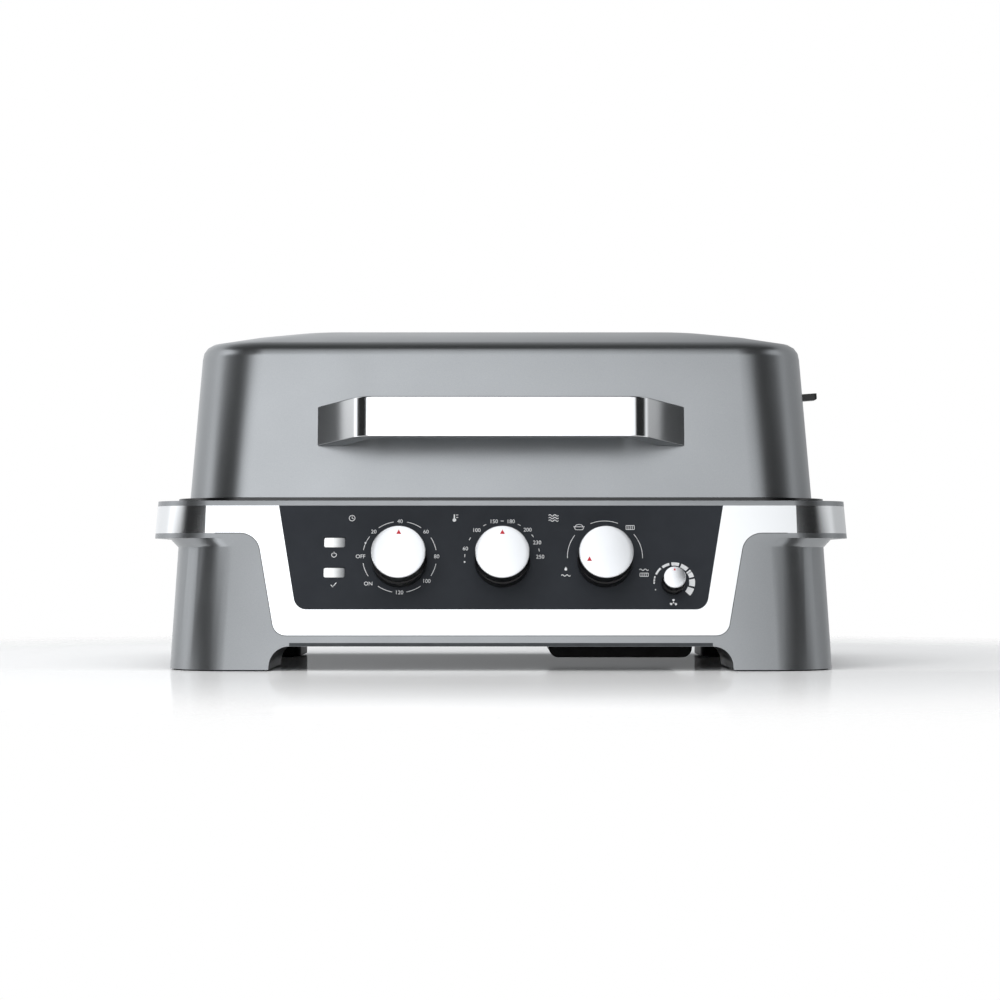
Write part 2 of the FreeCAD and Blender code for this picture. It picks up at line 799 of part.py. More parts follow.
def controls():
    """Each control's name, place, shaft radius, case, turret, and its knob's radius and height."""
    row = (knob_radius, knob_height)
    small = (small_knob_radius, small_knob_height)
    left = knob_row_x - knob_pitch
    right = knob_row_x + knob_pitch
    return [
        ("timer", left, knob_row_z, shaft_radius, timer_size, timer_turret, row),
        ("thermostat", knob_row_x, knob_row_z, shaft_radius, thermostat_size, 0, row),
        ("function", right, knob_row_z, shaft_radius, switch_size, switch_turret, row),
        ("blower", blower_knob_x, blower_knob_z, small_shaft_radius, dimmer_size, 0, small),
    ]


def make_control_panel():
    plate = panel_prism(0).common(front_slab(-panel_proud, fascia_thickness))
    for name, x, z, radius, size, turret, knob in controls():
        bushing = upright_rod(radius + running_fit + bushing_wall, 0, 0, -cut_past, cut_past)
        plate = plate.cut(put(bushing, on_panel(x, z)))
    for z in lamp_z:
        plate = plate.cut(lamp_block(z))
    return plate


def make_lamp_board():
    """Circuit board on two stand-offs, with a bulb behind each lens."""
    middle_z = sum(lamp_z) / 2
    width, height, thickness = lamp_board_size
    post_width, post_height = lamp_post
    shapes = [block(
        -width / 2, width / 2, -height / 2, height / 2, -lamp_board_depth - thickness, -lamp_board_depth)]
    for side in (-1, 1):
        shapes.append(block(
            side * width / 2, side * (width / 2 - post_width), -post_height / 2, post_height / 2,
            -lamp_board_depth, panel_back))
    for z in lamp_z:
        y = (z - middle_z) / slant
        shapes.append(upright_sided(
            bulb_radius, small_sides, 0, y, -lamp_board_depth, -lamp_depth - moving_gap))
    return put(fuse_all(shapes), on_panel(lamp_x, middle_z))


def control_unit(size, radius, turret):
    """Control behind the panel, with a bushing that its nut clamps; local to the panel face."""
    width, height, depth = size
    back = panel_back - depth
    body = block(-width / 2, width / 2, -height / 2, height / 2, back, panel_back)
    if turret:
        body = body.fuse(upright_sided(turret, small_sides, 0, 0, back - turret_height, back))
    bushing = upright_rod(radius + running_fit + bushing_wall, 0, 0, panel_back, bushing_length)
    bore = upright_rod(radius + running_fit, 0, 0, back + shaft_seat, bushing_length + cut_past)
    return body.fuse(bushing).cut(bore)


def nut_corner(radius):
    return (radius + bushing_wall) * nut_across


def make_nut(radius):
    """Hexagon nut on a bushing."""
    prism = upright_sided(nut_corner(radius), 6, 0, 0, 0, nut_thickness)
    return prism.cut(upright_rod(radius + running_fit + bushing_wall, 0, 0, 0, nut_thickness))


def shaft_blank(radius, z0, z1):
    """Round shaft with a flat along its outer end."""
    shaft = upright_rod(radius, 0, 0, z0, z1)
    flat_from = bushing_length + bushing_clear
    return shaft.cut(block(-radius, radius, radius - shaft_flat, 2 * radius, flat_from, z1 + cut_past))


def make_control_shaft(radius, depth, height):
    inner_end = panel_back - depth + shaft_seat + moving_gap
    return shaft_blank(radius, inner_end, height - knob_cap_thickness - shaft_end_gap)


def make_knob_body(outer, height, radius):
    """Knob with a recess that clears the nut and a bore for its shaft."""
    top = height - knob_cap_thickness
    recess_top = bushing_length + bushing_clear
    body = upright_rod(outer, 0, 0, knob_lift, top)
    body = body.cut(upright_rod(nut_corner(radius) + knob_recess_gap, 0, 0, knob_lift, recess_top))
    return body.cut(shaft_blank(radius, 0, top - shaft_end_gap))


def make_knob_cap(outer, height):
    """Metal face of a knob."""
    return upright_rod(outer - knob_cap_step, 0, 0, height - knob_cap_thickness, height)


def make_cooking_pan():
    """Pressed pan: wide flange on the deck, a ledge for the grate and a deep well."""
    flange = plan_block(
        -flange_half, flange_half, flange_front_y, flange_rear_y, flange_corner, deck_z, flange_top_z)
    upper_out = plan_block(
        -pan_outer_half, pan_outer_half, pan_front_y - pan_wall, pan_rear_y + pan_wall,
        pan_corner + pan_wall, ledge_z - pan_wall, deck_z)
    low_out = pan_low_half + pan_wall
    lower_out = plan_block(
        -low_out, low_out, pan_low_front_y - pan_wall, pan_low_rear_y + pan_wall,
        pan_low_corner + pan_wall, pan_floor_z - pan_wall, ledge_z - pan_wall)
    upper_in = plan_block(-pan_half, pan_half, pan_front_y, pan_rear_y, pan_corner, ledge_z, flange_top_z)
    lower_in = plan_block(
        -pan_low_half, pan_low_half, pan_low_front_y, pan_low_rear_y, pan_low_corner, pan_floor_z, ledge_z)
    pan = fuse_all([flange, upper_out, lower_out]).cut(fuse_all([upper_in, lower_in]))
    below = pan_floor_z - cut_past
    pan = pan.cut(upright_rod(drain_radius, drain_x, drain_y, below, pan_floor_z + cut_past))
    pan = pan.cut(chimney_block(blower_wall, below, pan_floor_z + cut_past))
    return pan.cut(fuse_all(rear_wall_bores() + [probe_bore(probe_radius)])).removeSplitter()


def chimney_block(inset, z0, z1):
    """The blower's outlet seen from above."""
    half = blower_duct_width / 2 - inset
    y = blower_y + blower_radius - blower_duct_width / 2
    return block(chimney_x - half, chimney_x + half, y - half, y + half, z0, z1)


def element_passes():
    """Where the element's four passes run; the outer two leave the pan through its rear wall."""
    return [element_middle_x + (i - 1.5) * element_pitch for i in range(4)]


def igniter_place():
    return (smoker_left + smoker_right) / 2, smoker_base_z - smoker_sheet - igniter_radius


def rear_wall_bores():
    """Bores through the rear walls of pan and shield for the element and the igniter."""
    start = pan_low_rear_y - cut_past
    end = shield_rear_y + cut_past
    xs = element_passes()
    bores = []
    for x in (xs[0], xs[-1]):
        bores.append(rod(element_radius, Vector(x, start, element_z), Vector(x, end, element_z)))
    x, z = igniter_place()
    bores.append(rod(igniter_radius, Vector(x, start, z), Vector(x, end, z)))
    return bores


def probe_bore(radius):
    """Bore through the front walls of pan and shield."""
    start = shield_front_y - cut_past
    end = pan_low_front_y + cut_past
    return rod(radius, Vector(knob_row_x, start, probe_z), Vector(knob_row_x, end, probe_z))


def make_heat_shield():
    """Folded sheet tub round the pan, hung under the deck by its lip."""
    half = pan_outer_half + shield_gap
    front = shield_front_y + shield_wall
    rear = shield_rear_y - shield_wall
    t = shield_wall
    lip = shield_lip
    outer = block(-half - t, half + t, front - t, rear + t, shield_floor_z - t, deck_under_z)
    rim = block(-half - lip, half + lip, front - lip, rear + lip, deck_under_z - t, deck_under_z)
    inner = block(-half, half, front, rear, shield_floor_z, deck_under_z)
    below = shield_floor_z - cut_past
    above = shield_floor_z + cut_past
    holes = rear_wall_bores() + [probe_bore(capillary_radius), chimney_block(0, below, above)]
    holes.append(upright_rod(drain_radius + spout_wall, drain_x, drain_y, below, above))
    return outer.fuse(rim).cut(inner).cut(fuse_all(holes))


def make_heating_element():
    """Tubular element: four passes from front to back with the two ends out of the rear wall."""
    xs = element_passes()
    end_y = shield_rear_y + element_cold_end
    corners = [
        (xs[0], end_y), (xs[0], element_front_y), (xs[1], element_front_y), (xs[1], element_rear_y),
        (xs[2], element_rear_y), (xs[2], element_front_y), (xs[3], element_front_y), (xs[3], end_y),
    ]
    points = [Vector(x, y, element_z) for x, y in corners]
    return swept_bar(points, element_pitch / 2 - bend_slack, element_radius, element_sides)


def make_element_brackets():
    """Two bars that stand on the pan floor and hold the element's passes."""
    xs = element_passes()
    low = element_z - bracket_drop
    top = element_z + element_radius + bracket_rise
    bars = []
    for y in (element_front_y + bracket_front_gap, element_rear_y - bracket_rear_gap):
        y0 = y - bracket_sheet / 2
        y1 = y + bracket_sheet / 2
        bar = block(xs[0] - bracket_overhang, xs[-1] + bracket_overhang, y0, y1, low, top)
        for x0 in (xs[0] - bracket_overhang, xs[-1] + bracket_overhang - bracket_leg):
            x1 = x0 + bracket_leg
            bar = bar.fuse(block(x0, x1, y0, y1, pan_floor_z, low))
            foot_top = pan_floor_z + bracket_foot_sheet
            bar = bar.fuse(block(x0, x1, y - bracket_foot / 2, y + bracket_foot / 2, pan_floor_z, foot_top))
        for x in xs:
            notch = block(
                x - element_radius, x + element_radius, y0 - cut_past, y1 + cut_past,
                element_z - element_radius, top + cut_past)
            bar = bar.cut(notch)
        bars.append(bar.removeSplitter())
    return Part.makeCompound(bars)


def make_temperature_probe():
    """Sensing bulb through the pan's front wall, on a thin tube from the thermostat."""
    wall_y = pan_low_front_y - pan_wall
    wall = Vector(knob_row_x, wall_y, probe_z)
    bulb = sided_rod(probe_radius, small_sides, wall, wall + Vector(0, probe_length, 0))
    collar = sided_rod(probe_radius + probe_collar, small_sides, wall - Vector(0, probe_collar, 0), wall)
    unit_depth = thermostat_size[2] - panel_back
    unit_back_y = front_y(probe_z) - panel_proud + unit_depth / slant + capillary_radius * lean
    thin = sided_rod(capillary_radius, small_sides, Vector(knob_row_x, unit_back_y, probe_z), wall)
    return fuse_all([bulb, collar, thin])


def make_smoker_holder():
    """Bridge on the pan floor that carries the smoker box over the air inlet."""
    x0 = smoker_left
    x1 = smoker_right
    y0 = smoker_front_y
    y1 = smoker_front_y + smoker_length
    outside = block(x0, x1, y0, y1, pan_floor_z, smoker_base_z)
    inside = block(
        x0 + smoker_sheet, x1 - smoker_sheet, y0 - cut_past, y1 + cut_past,
        pan_floor_z - cut_past, smoker_base_z - smoker_sheet)
    bridge = outside.cut(inside)
    for i in range(holder_slots):
        y = y0 + smoker_length * (i + 0.5) / holder_slots
        slot = block(
            x0 + holder_slot, x1 - holder_slot, y - holder_slot / 2, y + holder_slot / 2,
            smoker_base_z - cut_past, smoker_base_z + cut_past)
        bridge = bridge.cut(slot)
    return bridge


def make_smoke_igniter():
    x, z = igniter_place()
    start = Vector(x, smoker_front_y + igniter_start, z)
    return rod(igniter_radius, start, Vector(x, shield_rear_y + igniter_cold_end, z))


def make_blower_housing():
    """Scroll with its inlet below and a chimney up to the pan floor."""
    z0 = cover_top_z
    z1 = blower_top_z
    t = blower_wall
    duct_y1 = blower_y + blower_radius
    duct_y0 = duct_y1 - blower_duct_width
    end_x = chimney_x + blower_duct_width / 2
    outside = fuse_all([
        upright_sided(blower_radius, large_sides, blower_x, blower_y, z0, z1),
        block(blower_x, end_x, duct_y0, duct_y1, z0, z1),
        chimney_block(0, z1 - t, pan_floor_z - pan_wall),
    ])
    hole = small_shaft_radius + shaft_hole_gap
    inside = fuse_all([
        upright_sided(blower_radius - t, large_sides, blower_x, blower_y, z0 + t, z1 - t),
        block(blower_x, end_x - t, duct_y0 + t, duct_y1 - t, z0 + t, z1 - t),
        chimney_block(t, z0 + t, pan_floor_z),
        upright_sided(blower_inlet_radius, large_sides, blower_x, blower_y, z0 - cut_past, z0 + cut_past),
        upright_sided(hole, small_sides, blower_x, blower_y, z1 - cut_past, z1 + cut_past),
    ])
    return outside.cut(inside).removeSplitter()


def make_blower_motor():
    top = blower_top_z + motor_height
    can = upright_sided(motor_radius, large_sides, blower_x, blower_y, blower_top_z, top)
    bore = upright_rod(
        small_shaft_radius + running_fit, blower_x, blower_y, blower_top_z, top - motor_end_wall)
    return can.cut(bore)


def make_blower_impeller():
    """Backward-leaning blades under a back plate, on the motor's shaft."""
    top_z = blower_top_z - blower_wall - impeller_gap
    blade_foot = top_z - impeller_height
    hub_foot = blade_foot + hub_foot_gap
    shaft_top = blower_top_z + motor_height - motor_end_wall - moving_gap
    shapes = [
        upright_sided(impeller_radius, large_sides, 0, 0, top_z - impeller_plate, top_z),
        upright_sided(impeller_hub_radius, small_sides, 0, 0, hub_foot, top_z),
        upright_rod(small_shaft_radius, 0, 0, hub_foot, shaft_top),
    ]
    length = impeller_radius - blade_start - blade_edge
    for i in range(blade_count):
        blade = block(0, length, -blade_thickness / 2, blade_thickness / 2, blade_foot, top_z)
        blade.rotate(Vector(0, 0, 0), Vector(0, 0, 1), blade_turn)
        blade.translate(Vector(blade_start, -blade_shift, 0))
        blade.rotate(Vector(0, 0, 0), Vector(0, 0, 1), 360.0 * i / blade_count)
        shapes.append(blade)
    wheel = fuse_all(shapes)
    wheel.translate(Vector(blower_x, blower_y, 0))
    return wheel.removeSplitter()


def make_drain_spout():
    """Short tube from the pan's drain hole to just above the drip tray."""
    low = tray_top_z + 2 * moving_gap
    high = pan_floor_z - pan_wall
    tube = upright_sided(drain_radius + spout_wall, small_sides, drain_x, drain_y, low, high)
    return tube.cut(upright_sided(drain_radius, small_sides, drain_x, drain_y, low, high))


def make_bottom_cover():
    """Sheet that closes the housing from below, square at the front and rounded at the rear corners."""
    half = body_half - housing_wall - moving_gap - underside_z * math.tan(math.radians(body_side_lean))
    front = leg_back_y + arch_radius + housing_wall + moving_gap
    rear = body_rear_y - housing_wall - moving_gap
    corner = body_corner - housing_wall
    points = [(-half, front), (half, front), (half, rear), (-half, rear)]
    wire = rounded_wire(points, [0, 0, corner, corner], lambda u, v: Vector(u, v, cover_bottom_z))
    plate = Part.Face(wire).extrude(Vector(0, 0, cover_sheet))
    low = cover_bottom_z - cut_past
    high = cover_top_z + cut_past
    holes = [upright_rod(drain_radius + spout_wall + moving_gap, drain_x, drain_y, low, high)]
    groups = [(blower_x - vent_slot_length / 2, blower_y)]
    groups += [(x, pan_middle_y + vent_group_offset_y) for x in vent_group_x]
    for x, middle_y in groups:
        for i in range(vent_slot_count):
            y = middle_y + (i - (vent_slot_count - 1) / 2) * vent_slot_pitch
            holes.append(block(
                x, x + vent_slot_length, y - vent_slot_width / 2, y + vent_slot_width / 2, low, high))
    for side, x, y in boss_places():
        holes.append(upright_rod(screw_radius, x, y, low, high))
    return plate.cut(Part.makeCompound(holes))


def make_bottom_screws():
    """Self-tapping screws, heads below the cover."""
    screws = []
    for side, x, y in boss_places():
        z = cover_bottom_z
        head = upright_sided(screw_head_radius, small_sides, x, y, z - screw_head_height, z)
        shank = upright_sided(screw_radius, small_sides, x, y, z, cover_top_z + screw_grip)
        screws.append(head.fuse(shank))
    return Part.makeCompound(screws)


def make_tray_runners():
    """Two hooked rails under the cover; the tray's flanges slide in them."""
    y0 = runner_front_y
    y1 = runner_front_y + runner_length
    web = tray_half + moving_gap
    lip_top = tray_top_z - tray_wall - moving_gap
    lip_foot = lip_top - runner_sheet
    rails = []
    for side in (-1, 1):
        inner = drain_x + side * web
        outer = drain_x + side * (web + runner_sheet)
        hook = drain_x + side * (tray_half - tray_flange + moving_gap)
        foot = drain_x + side * (web + runner_foot)
        shapes = [
            block(inner, outer, y0, y1, lip_foot, cover_bottom_z),
            block(hook, outer, y0, y1, lip_foot, lip_top),
            block(inner, foot, y0, y1, cover_bottom_z - runner_sheet, cover_bottom_z),
        ]
        rails.append(fuse_all(shapes).removeSplitter())
    return Part.makeCompound(rails)


def tray_trough(inset, start, end, top):
    """The tray's trough, its lower edges rounded, made smaller by inset."""
    half = tray_half - tray_flange - inset
    low = tray_bottom_z + inset
    radius = tray_corner - inset
    points = [(drain_x - half, low), (drain_x + half, low), (drain_x + half, top), (drain_x - half, top)]
    return front_prism(points, [radius, radius, 0, 0], start, end)


def make_drip_tray():
    """Pressed tray with side flanges and a thick front edge to pull it by."""
    y0 = tray_front_y
    y1 = tray_front_y + tray_length
    outside = tray_trough(0, y0, y1, tray_top_z)
    inside = tray_trough(tray_wall, y0 + tray_front_block, y1 - tray_wall, tray_top_z + cut_past)
    flange = block(
        drain_x - tray_half, drain_x + tray_half, y0 + tray_flange_start, y1,
        tray_top_z - tray_wall, tray_top_z)
    return outside.fuse(flange).cut(inside)


def rear_foot_block(inset, corner, z0, z1):
    """Block with the right rear foot's plan, made smaller by inset."""
    return plan_block(
        rear_foot_inner + inset, rear_foot_inner + rear_foot_width - inset,
        rear_foot_front_y + inset, rear_foot_front_y + rear_foot_length - inset, corner, z0, z1)


def make_rear_foot():
    """Hollow moulded foot under the cover, recessed for its sole."""
    foot = rear_foot_block(0, rear_foot_corner, foot_z, cover_bottom_z)
    recess = rear_foot_block(rear_foot_rim, 0, foot_z - cut_past, foot_z + pad_sink)
    floor = foot_z + pad_sink + rear_foot_web
    hollow = rear_foot_block(rear_foot_wall, 0, floor, cover_bottom_z + cut_past)
    return foot.cut(recess).cut(hollow)


def make_foot_pads():
    """Rubber soles: two fill the hollow front legs, two sit in the rear feet."""
    plug = skin_loft([body_wire(0, housing_wall), body_wire(foot_z + pad_sink, housing_wall)])
    plug = plug.cut(arch_prism(housing_wall, front_foot_y - cut_past, rear_y + cut_past))
    plug = plug.cut(side_arch_prism(housing_wall, rear_y + cut_past))
    sole = rear_foot_block(rear_foot_rim, 0, 0, foot_z + pad_sink)
    return Part.makeCompound(plug.Solids + [sole, mirrored(sole)])


def make_hinge_brackets():
    """Deck plates with two ears each for the lid's arms."""
    brackets = []
    half = hinge_arm_width / 2 + moving_gap
    y0 = hinge_axis_y - hinge_eye_radius - hinge_plate_front
    y1 = hinge_axis_y + hinge_eye_radius + hinge_plate_rear
    eye = hinge_eye_radius
    cut = hinge_ear_chamfer
    outline = [(eye, 0), (eye, eye - cut), (eye - cut, eye), (cut - eye, eye), (-eye, eye - cut), (-eye, 0)]
    points = [(y0, deck_z), (y1, deck_z)] + [(hinge_axis_y + y, hinge_axis_z + z) for y, z in outline]
    for x in (-hinge_x, hinge_x):
        shapes = [block(x - half - hinge_ear, x + half + hinge_ear, y0, y1, deck_z, deck_z + hinge_plate)]
        for x0 in (x - half - hinge_ear, x + half):
            shapes.append(side_prism(points, [0] * len(points), x0, x0 + hinge_ear))
        reach = half + hinge_ear + cut_past
        bore = cross_rod(hinge_pin_radius, x - reach, x + reach, hinge_axis_y, hinge_axis_z)
        brackets.append(fuse_all(shapes).cut(bore).removeSplitter())
    return Part.makeCompound(brackets)


def make_hinge_pins():
    """Headed pins, pressed into the ears."""
    pins = []
    half = hinge_arm_width / 2 + moving_gap + hinge_ear
    head_radius, head_height = hinge_pin_head
    for x in (-hinge_x, hinge_x):
        shank = cross_rod(hinge_pin_radius, x - half - head_height, x + half, hinge_axis_y, hinge_axis_z)
        start = Vector(x + half, hinge_axis_y, hinge_axis_z)
        head = sided_rod(head_radius, small_sides, start, start + Vector(head_height, 0, 0))
        pins.append(shank.fuse(head))
    return Part.makeCompound(pins)


def make_power_inlet():
    """Three-pin appliance inlet in the rear wall."""
    half_w = inlet_width / 2
    half_h = inlet_height / 2
    face_y = body_rear_y + inlet_flange_sheet
    floor_y = face_y - inlet_socket_depth
    flange = block(
        inlet_x - half_w - inlet_flange, inlet_x + half_w + inlet_flange, body_rear_y, face_y,
        inlet_z - half_h - inlet_flange_edge, inlet_z + half_h + inlet_flange_edge)
    body = block(
        inlet_x - half_w, inlet_x + half_w, body_rear_y - inlet_depth, body_rear_y,
        inlet_z - half_h, inlet_z + half_h)
    u = half_w - inlet_shell
    v = half_h - inlet_shell
    outline = [
        (-u, -v), (u, -v), (u, v - inlet_chamfer), (u - inlet_chamfer, v),
        (-u + inlet_chamfer, v), (-u, v - inlet_chamfer),
    ]
    points = [(inlet_x + x, inlet_z + z) for x, z in outline]
    socket = front_prism(points, [inlet_socket_round] * 6, floor_y, face_y + cut_past)
    inlet = body.fuse(flange).cut(socket)
    pin_width, pin_height, pin_length = inlet_pin
    for dx, dz in inlet_pin_places:
        x = inlet_x + dx
        z = inlet_z + dz
        inlet = inlet.fuse(block(
            x - pin_width / 2, x + pin_width / 2, floor_y - inlet_pin_root, floor_y + pin_length,
            z - pin_height / 2, z + pin_height / 2))
    return inlet.removeSplitter()


def make_terminal_block():
    """Row of screw terminals where the mains wires meet."""
    width, depth, height = terminal_size
    z1 = cover_top_z + height
    shapes = [block(
        terminal_x - width / 2, terminal_x + width / 2, terminal_y - depth / 2, terminal_y + depth / 2,
        cover_top_z, z1 - terminal_base_drop)]
    wells = []
    pitch = width / terminal_poles
    for i in range(terminal_poles):
        x = terminal_x + (i - (terminal_poles - 1) / 2) * pitch
        half_x = (pitch - terminal_gap) / 2
        half_y = terminal_pole_depth / 2
        shapes.append(block(x - half_x, x + half_x, terminal_y - half_y, terminal_y + half_y, cover_top_z, z1))
        wells.append(block(
            x - terminal_well / 2, x + terminal_well / 2, terminal_y - terminal_well / 2,
            terminal_y + terminal_well / 2, z1 - terminal_well_depth, z1 + cut_past))
    return fuse_all(shapes).cut(fuse_all(wells))


# Lid pieces

def lid_side_wire(z, inset):
    """Outline of the lid's leaning sides at height z, made smaller by inset."""
    half = lid_half_at(z) - inset
    return plan_wire(-half, half, lid_front_at(z) + inset, lid_rear_at(z) - inset, lid_corner - inset, z)


def lid_solid(inset, shoulder_parts, crown_parts):
    """The lid's form, made smaller all round by inset: leaning sides, a rounded shoulder, a low crown."""
    half = lid_half_at(shoulder_z)
    front = lid_front_at(shoulder_z)
    rear = lid_rear_at(shoulder_z)
    sweep = math.radians(shoulder_sweep)
    radius = shoulder_radius - inset
    sections = [lid_side_wire(lid_bottom_z, inset), lid_side_wire(shoulder_z, inset)]
    for step in range(1, shoulder_parts + 1):
        angle = sweep * step / shoulder_parts
        pull = shoulder_radius - radius * math.cos(angle)
        z = shoulder_z + radius * math.sin(angle)
        x = half - pull
        sections.append(plan_wire(-x, x, front + pull, rear - pull, lid_corner - pull, z))
    pull = shoulder_radius * (1 - math.cos(sweep))
    edge_z = shoulder_z + shoulder_radius * math.sin(sweep)
    edge_half = half - pull
    edge_front = front + pull
    edge_rear = rear - pull
    for step in range(1, crown_parts + 1):
        share = step / crown_parts
        x = edge_half + share * (crown_half - edge_half)
        y0 = edge_front + share * (crown_front_y - edge_front)
        y1 = edge_rear + share * (crown_rear_y - edge_rear)
        z = edge_z + (crown_top_z - edge_z) * math.sin(share * math.pi / 2) - inset
        sections.append(plan_wire(-x, x, y0, y1, lid_corner - pull, z))
    return skin_loft(sections)


def vent_holes(z0, z1):
    """The row of three vent holes, local to the tab's place on the lid's side."""
    xs = (-vent_hole_pitch, 0, vent_hole_pitch)
    return fuse_all([upright_rod(vent_hole_radius, x, -vent_row_drop, z0, z1) for x in xs])


def damper_slot():
    """Slot for the damper's tab above the vent holes, local to the tab's place."""
    half_x = (damper_tab_width + vent_travel) / 2 + moving_gap
    half_y = damper_tab_height / 2 + moving_gap
    return block(-half_x, half_x, -half_y, half_y, -cut_past, cut_past)


def make_lid_shell():
    shell = lid_solid(0, shoulder_steps, crown_steps).cut(lid_solid(lid_wall, 1, 1))
    side = on_lid_side(vent_y, vent_z)
    shell = shell.cut(put(vent_holes(-cut_past, cut_past), side)).cut(put(damper_slot(), side))
    for x in handle_screw_places():
        hole = upright_rod(handle_screw_radius, 0, 0, -cut_past, cut_past)
        shell = shell.cut(put(hole, on_lid_front(x, handle_z)))
    return shell


def make_lid_liner():
    """Thin inner lid of straight panels, joined to the shell by its brim."""
    outside = lid_wall + liner_gap
    hollow = lid_solid(outside + liner_sheet, 1, 1)
    liner = lid_solid(outside, 1, 1).cut(hollow)
    brim_top = lid_bottom_z + liner_brim
    brim = skin_loft([lid_side_wire(lid_bottom_z, lid_wall), lid_side_wire(brim_top, lid_wall)])
    liner = liner.fuse(brim.cut(hollow))
    half_x = vent_hole_pitch + vent_hole_radius + liner_window_edge
    half_y = vent_hole_radius + liner_window_edge
    depth = outside + 2 * cut_past
    window = block(-half_x, half_x, -vent_row_drop - half_y, -vent_row_drop + half_y, -depth, cut_past)
    return liner.cut(put(window, on_lid_side(vent_y, vent_z)))


def handle_screw_places():
    middle = handle_half - handle_arm / 2
    return (-middle, middle)


def make_lid_handle():
    """Bent bar handle with solid arms, square to the lid's face."""
    foot = handle_half - handle_arm
    under = handle_reach - handle_bar
    inner_elbow = handle_elbow - handle_arm + handle_bar
    points = [
        (handle_half, 0), (handle_elbow, handle_reach), (-handle_elbow, handle_reach), (-handle_half, 0),
        (-foot, 0), (-inner_elbow, under), (inner_elbow, under), (foot, 0),
    ]
    bend = handle_elbow_radius
    inner_bend = handle_inner_radius
    radii = [0, bend, bend, 0, 0, inner_bend, inner_bend, 0]
    wire = rounded_wire(points, radii, lambda u, v: Vector(u, -handle_height / 2, v))
    bar = Part.Face(wire).extrude(Vector(0, handle_height, 0))
    long_edges = [e for e in bar.Edges if e.BoundBox.YLength < 1e-6 and e.BoundBox.ZMax > 1e-6]
    bar = bar.makeChamfer(handle_edge, long_edges)
    for x in handle_screw_places():
        bar = bar.cut(upright_rod(handle_screw_radius, x, 0, 0, handle_screw_length))
    return put(bar, on_lid_front(0, handle_z))


def make_handle_screws():
    """Screws from inside the lid into the handle's arms."""
    screws = []
    head_radius, head_height = handle_screw_head
    for x in handle_screw_places():
        head = upright_sided(head_radius, small_sides, 0, 0, -lid_wall - head_height, -lid_wall)
        shank = upright_sided(handle_screw_radius, small_sides, 0, 0, -lid_wall, handle_screw_length)
        screws.append(put(head.fuse(shank), on_lid_front(x, handle_z)))
    return Part.makeCompound(screws)


def make_hinge_arms():
    """Lid arms: a plate against the rear wall and an eye round the hinge pin."""
    arms = []
    low = lid_bottom_z + hinge_arm_foot
    high = hinge_arm_top_z
    back_y = lid_rear_at(high) + hinge_arm_plate
    points = [
        (lid_rear_at(low), low), (hinge_axis_y, hinge_axis_z - hinge_eye_radius + hinge_notch),
        (hinge_axis_y, hinge_axis_z + hinge_eye_radius), (back_y, high - hinge_arm_toe),
        (back_y, high), (lid_rear_at(high), high),
    ]
    for x in (-hinge_x, hinge_x):
        x0 = x - hinge_arm_width / 2
        x1 = x + hinge_arm_width / 2
        plate = side_prism(points, [0] * 6, x0, x1)
        eye = cross_rod(hinge_eye_radius, x0, x1, hinge_axis_y, hinge_axis_z)
        bore = cross_rod(
            hinge_pin_radius + running_fit, x0 - cut_past, x1 + cut_past, hinge_axis_y, hinge_axis_z)
        arms.append(plate.fuse(eye).cut(bore).removeSplitter())
    return Part.makeCompound(arms)


def make_vent_damper():
    """Slide behind the vent holes with a tab that reaches out through its slot."""
    back = -lid_wall / math.cos(math.radians(lid_side_lean)) - moving_gap
    half_x = vent_hole_pitch + vent_hole_radius + vent_travel
    low = -vent_row_drop - vent_hole_radius - damper_edge
    plate = block(-half_x, half_x, low, damper_tab_height / 2 + damper_head, back - damper_sheet, back)
    plate = plate.cut(vent_holes(back - cut_past, back + cut_past))
    half = damper_tab_width / 2
    tab = block(
        -half, half, -damper_tab_height / 2, damper_tab_height / 2, back - damper_sheet, damper_tab_reach)
    outer_edges = [e for e in tab.Edges if abs(e.CenterOfMass.z - damper_tab_reach) < 1e-6]
    tab = tab.makeFillet(damper_tab_round, [e for e in outer_edges if e.CenterOfMass.y < 0])
    tab.translate(Vector(-vent_travel / 2, 0, 0))
    return put(plate.fuse(tab), on_lid_side(vent_y, vent_z))


# Loose pieces in the pan

def make_grill_grate():
    """Cast plate with tall ribs and long grease slots between them, its edge on the pan's ledge."""
    front = pan_front_y + grate_gap
    rear = pan_rear_y - grate_gap
    middle_y = (front + rear) / 2
    z0 = ledge_z + moving_gap
    plate_top = z0 + grate_plate
    rib_top = plate_top + rib_height
    rib_foot = plate_top - rib_sink
    y0 = front + grate_frame_width
    y1 = rear - grate_frame_width
    count = int((grate_right - grate_left - 2 * grate_frame_width) / rib_pitch)
    first = (grate_left + grate_right) / 2 - (count - 1) * rib_pitch / 2
    half_foot = rib_width_foot / 2
    half_top = rib_width_top / 2
    ribs = []
    slots = []
    for i in range(count):
        x = first + i * rib_pitch
        foot = [(x - half_foot, rib_foot), (x + half_foot, rib_foot)]
        profile = foot + [(x + half_top, rib_top), (x - half_top, rib_top)]
        ribs.append(front_prism(profile, [0] * 4, y0, y1))
    for i in range(count - 1):
        x = first + (i + 0.5) * rib_pitch
        for start, end in ((y0 + slot_end_gap, middle_y - slot_bridge / 2),
                           (middle_y + slot_bridge / 2, y1 - slot_end_gap)):
            slots.append(block(
                x - slot_width / 2, x + slot_width / 2, start, end, z0 - cut_past, plate_top + cut_past))
    plate = plan_block(grate_left, grate_right, front, rear, grate_corner, z0, plate_top)
    return plate.cut(Part.makeCompound(slots)).fuse(ribs)


def smoker_hinge_axis():
    return smoker_right + smoker_pin_out, smoker_top_z + smoker_pin_up


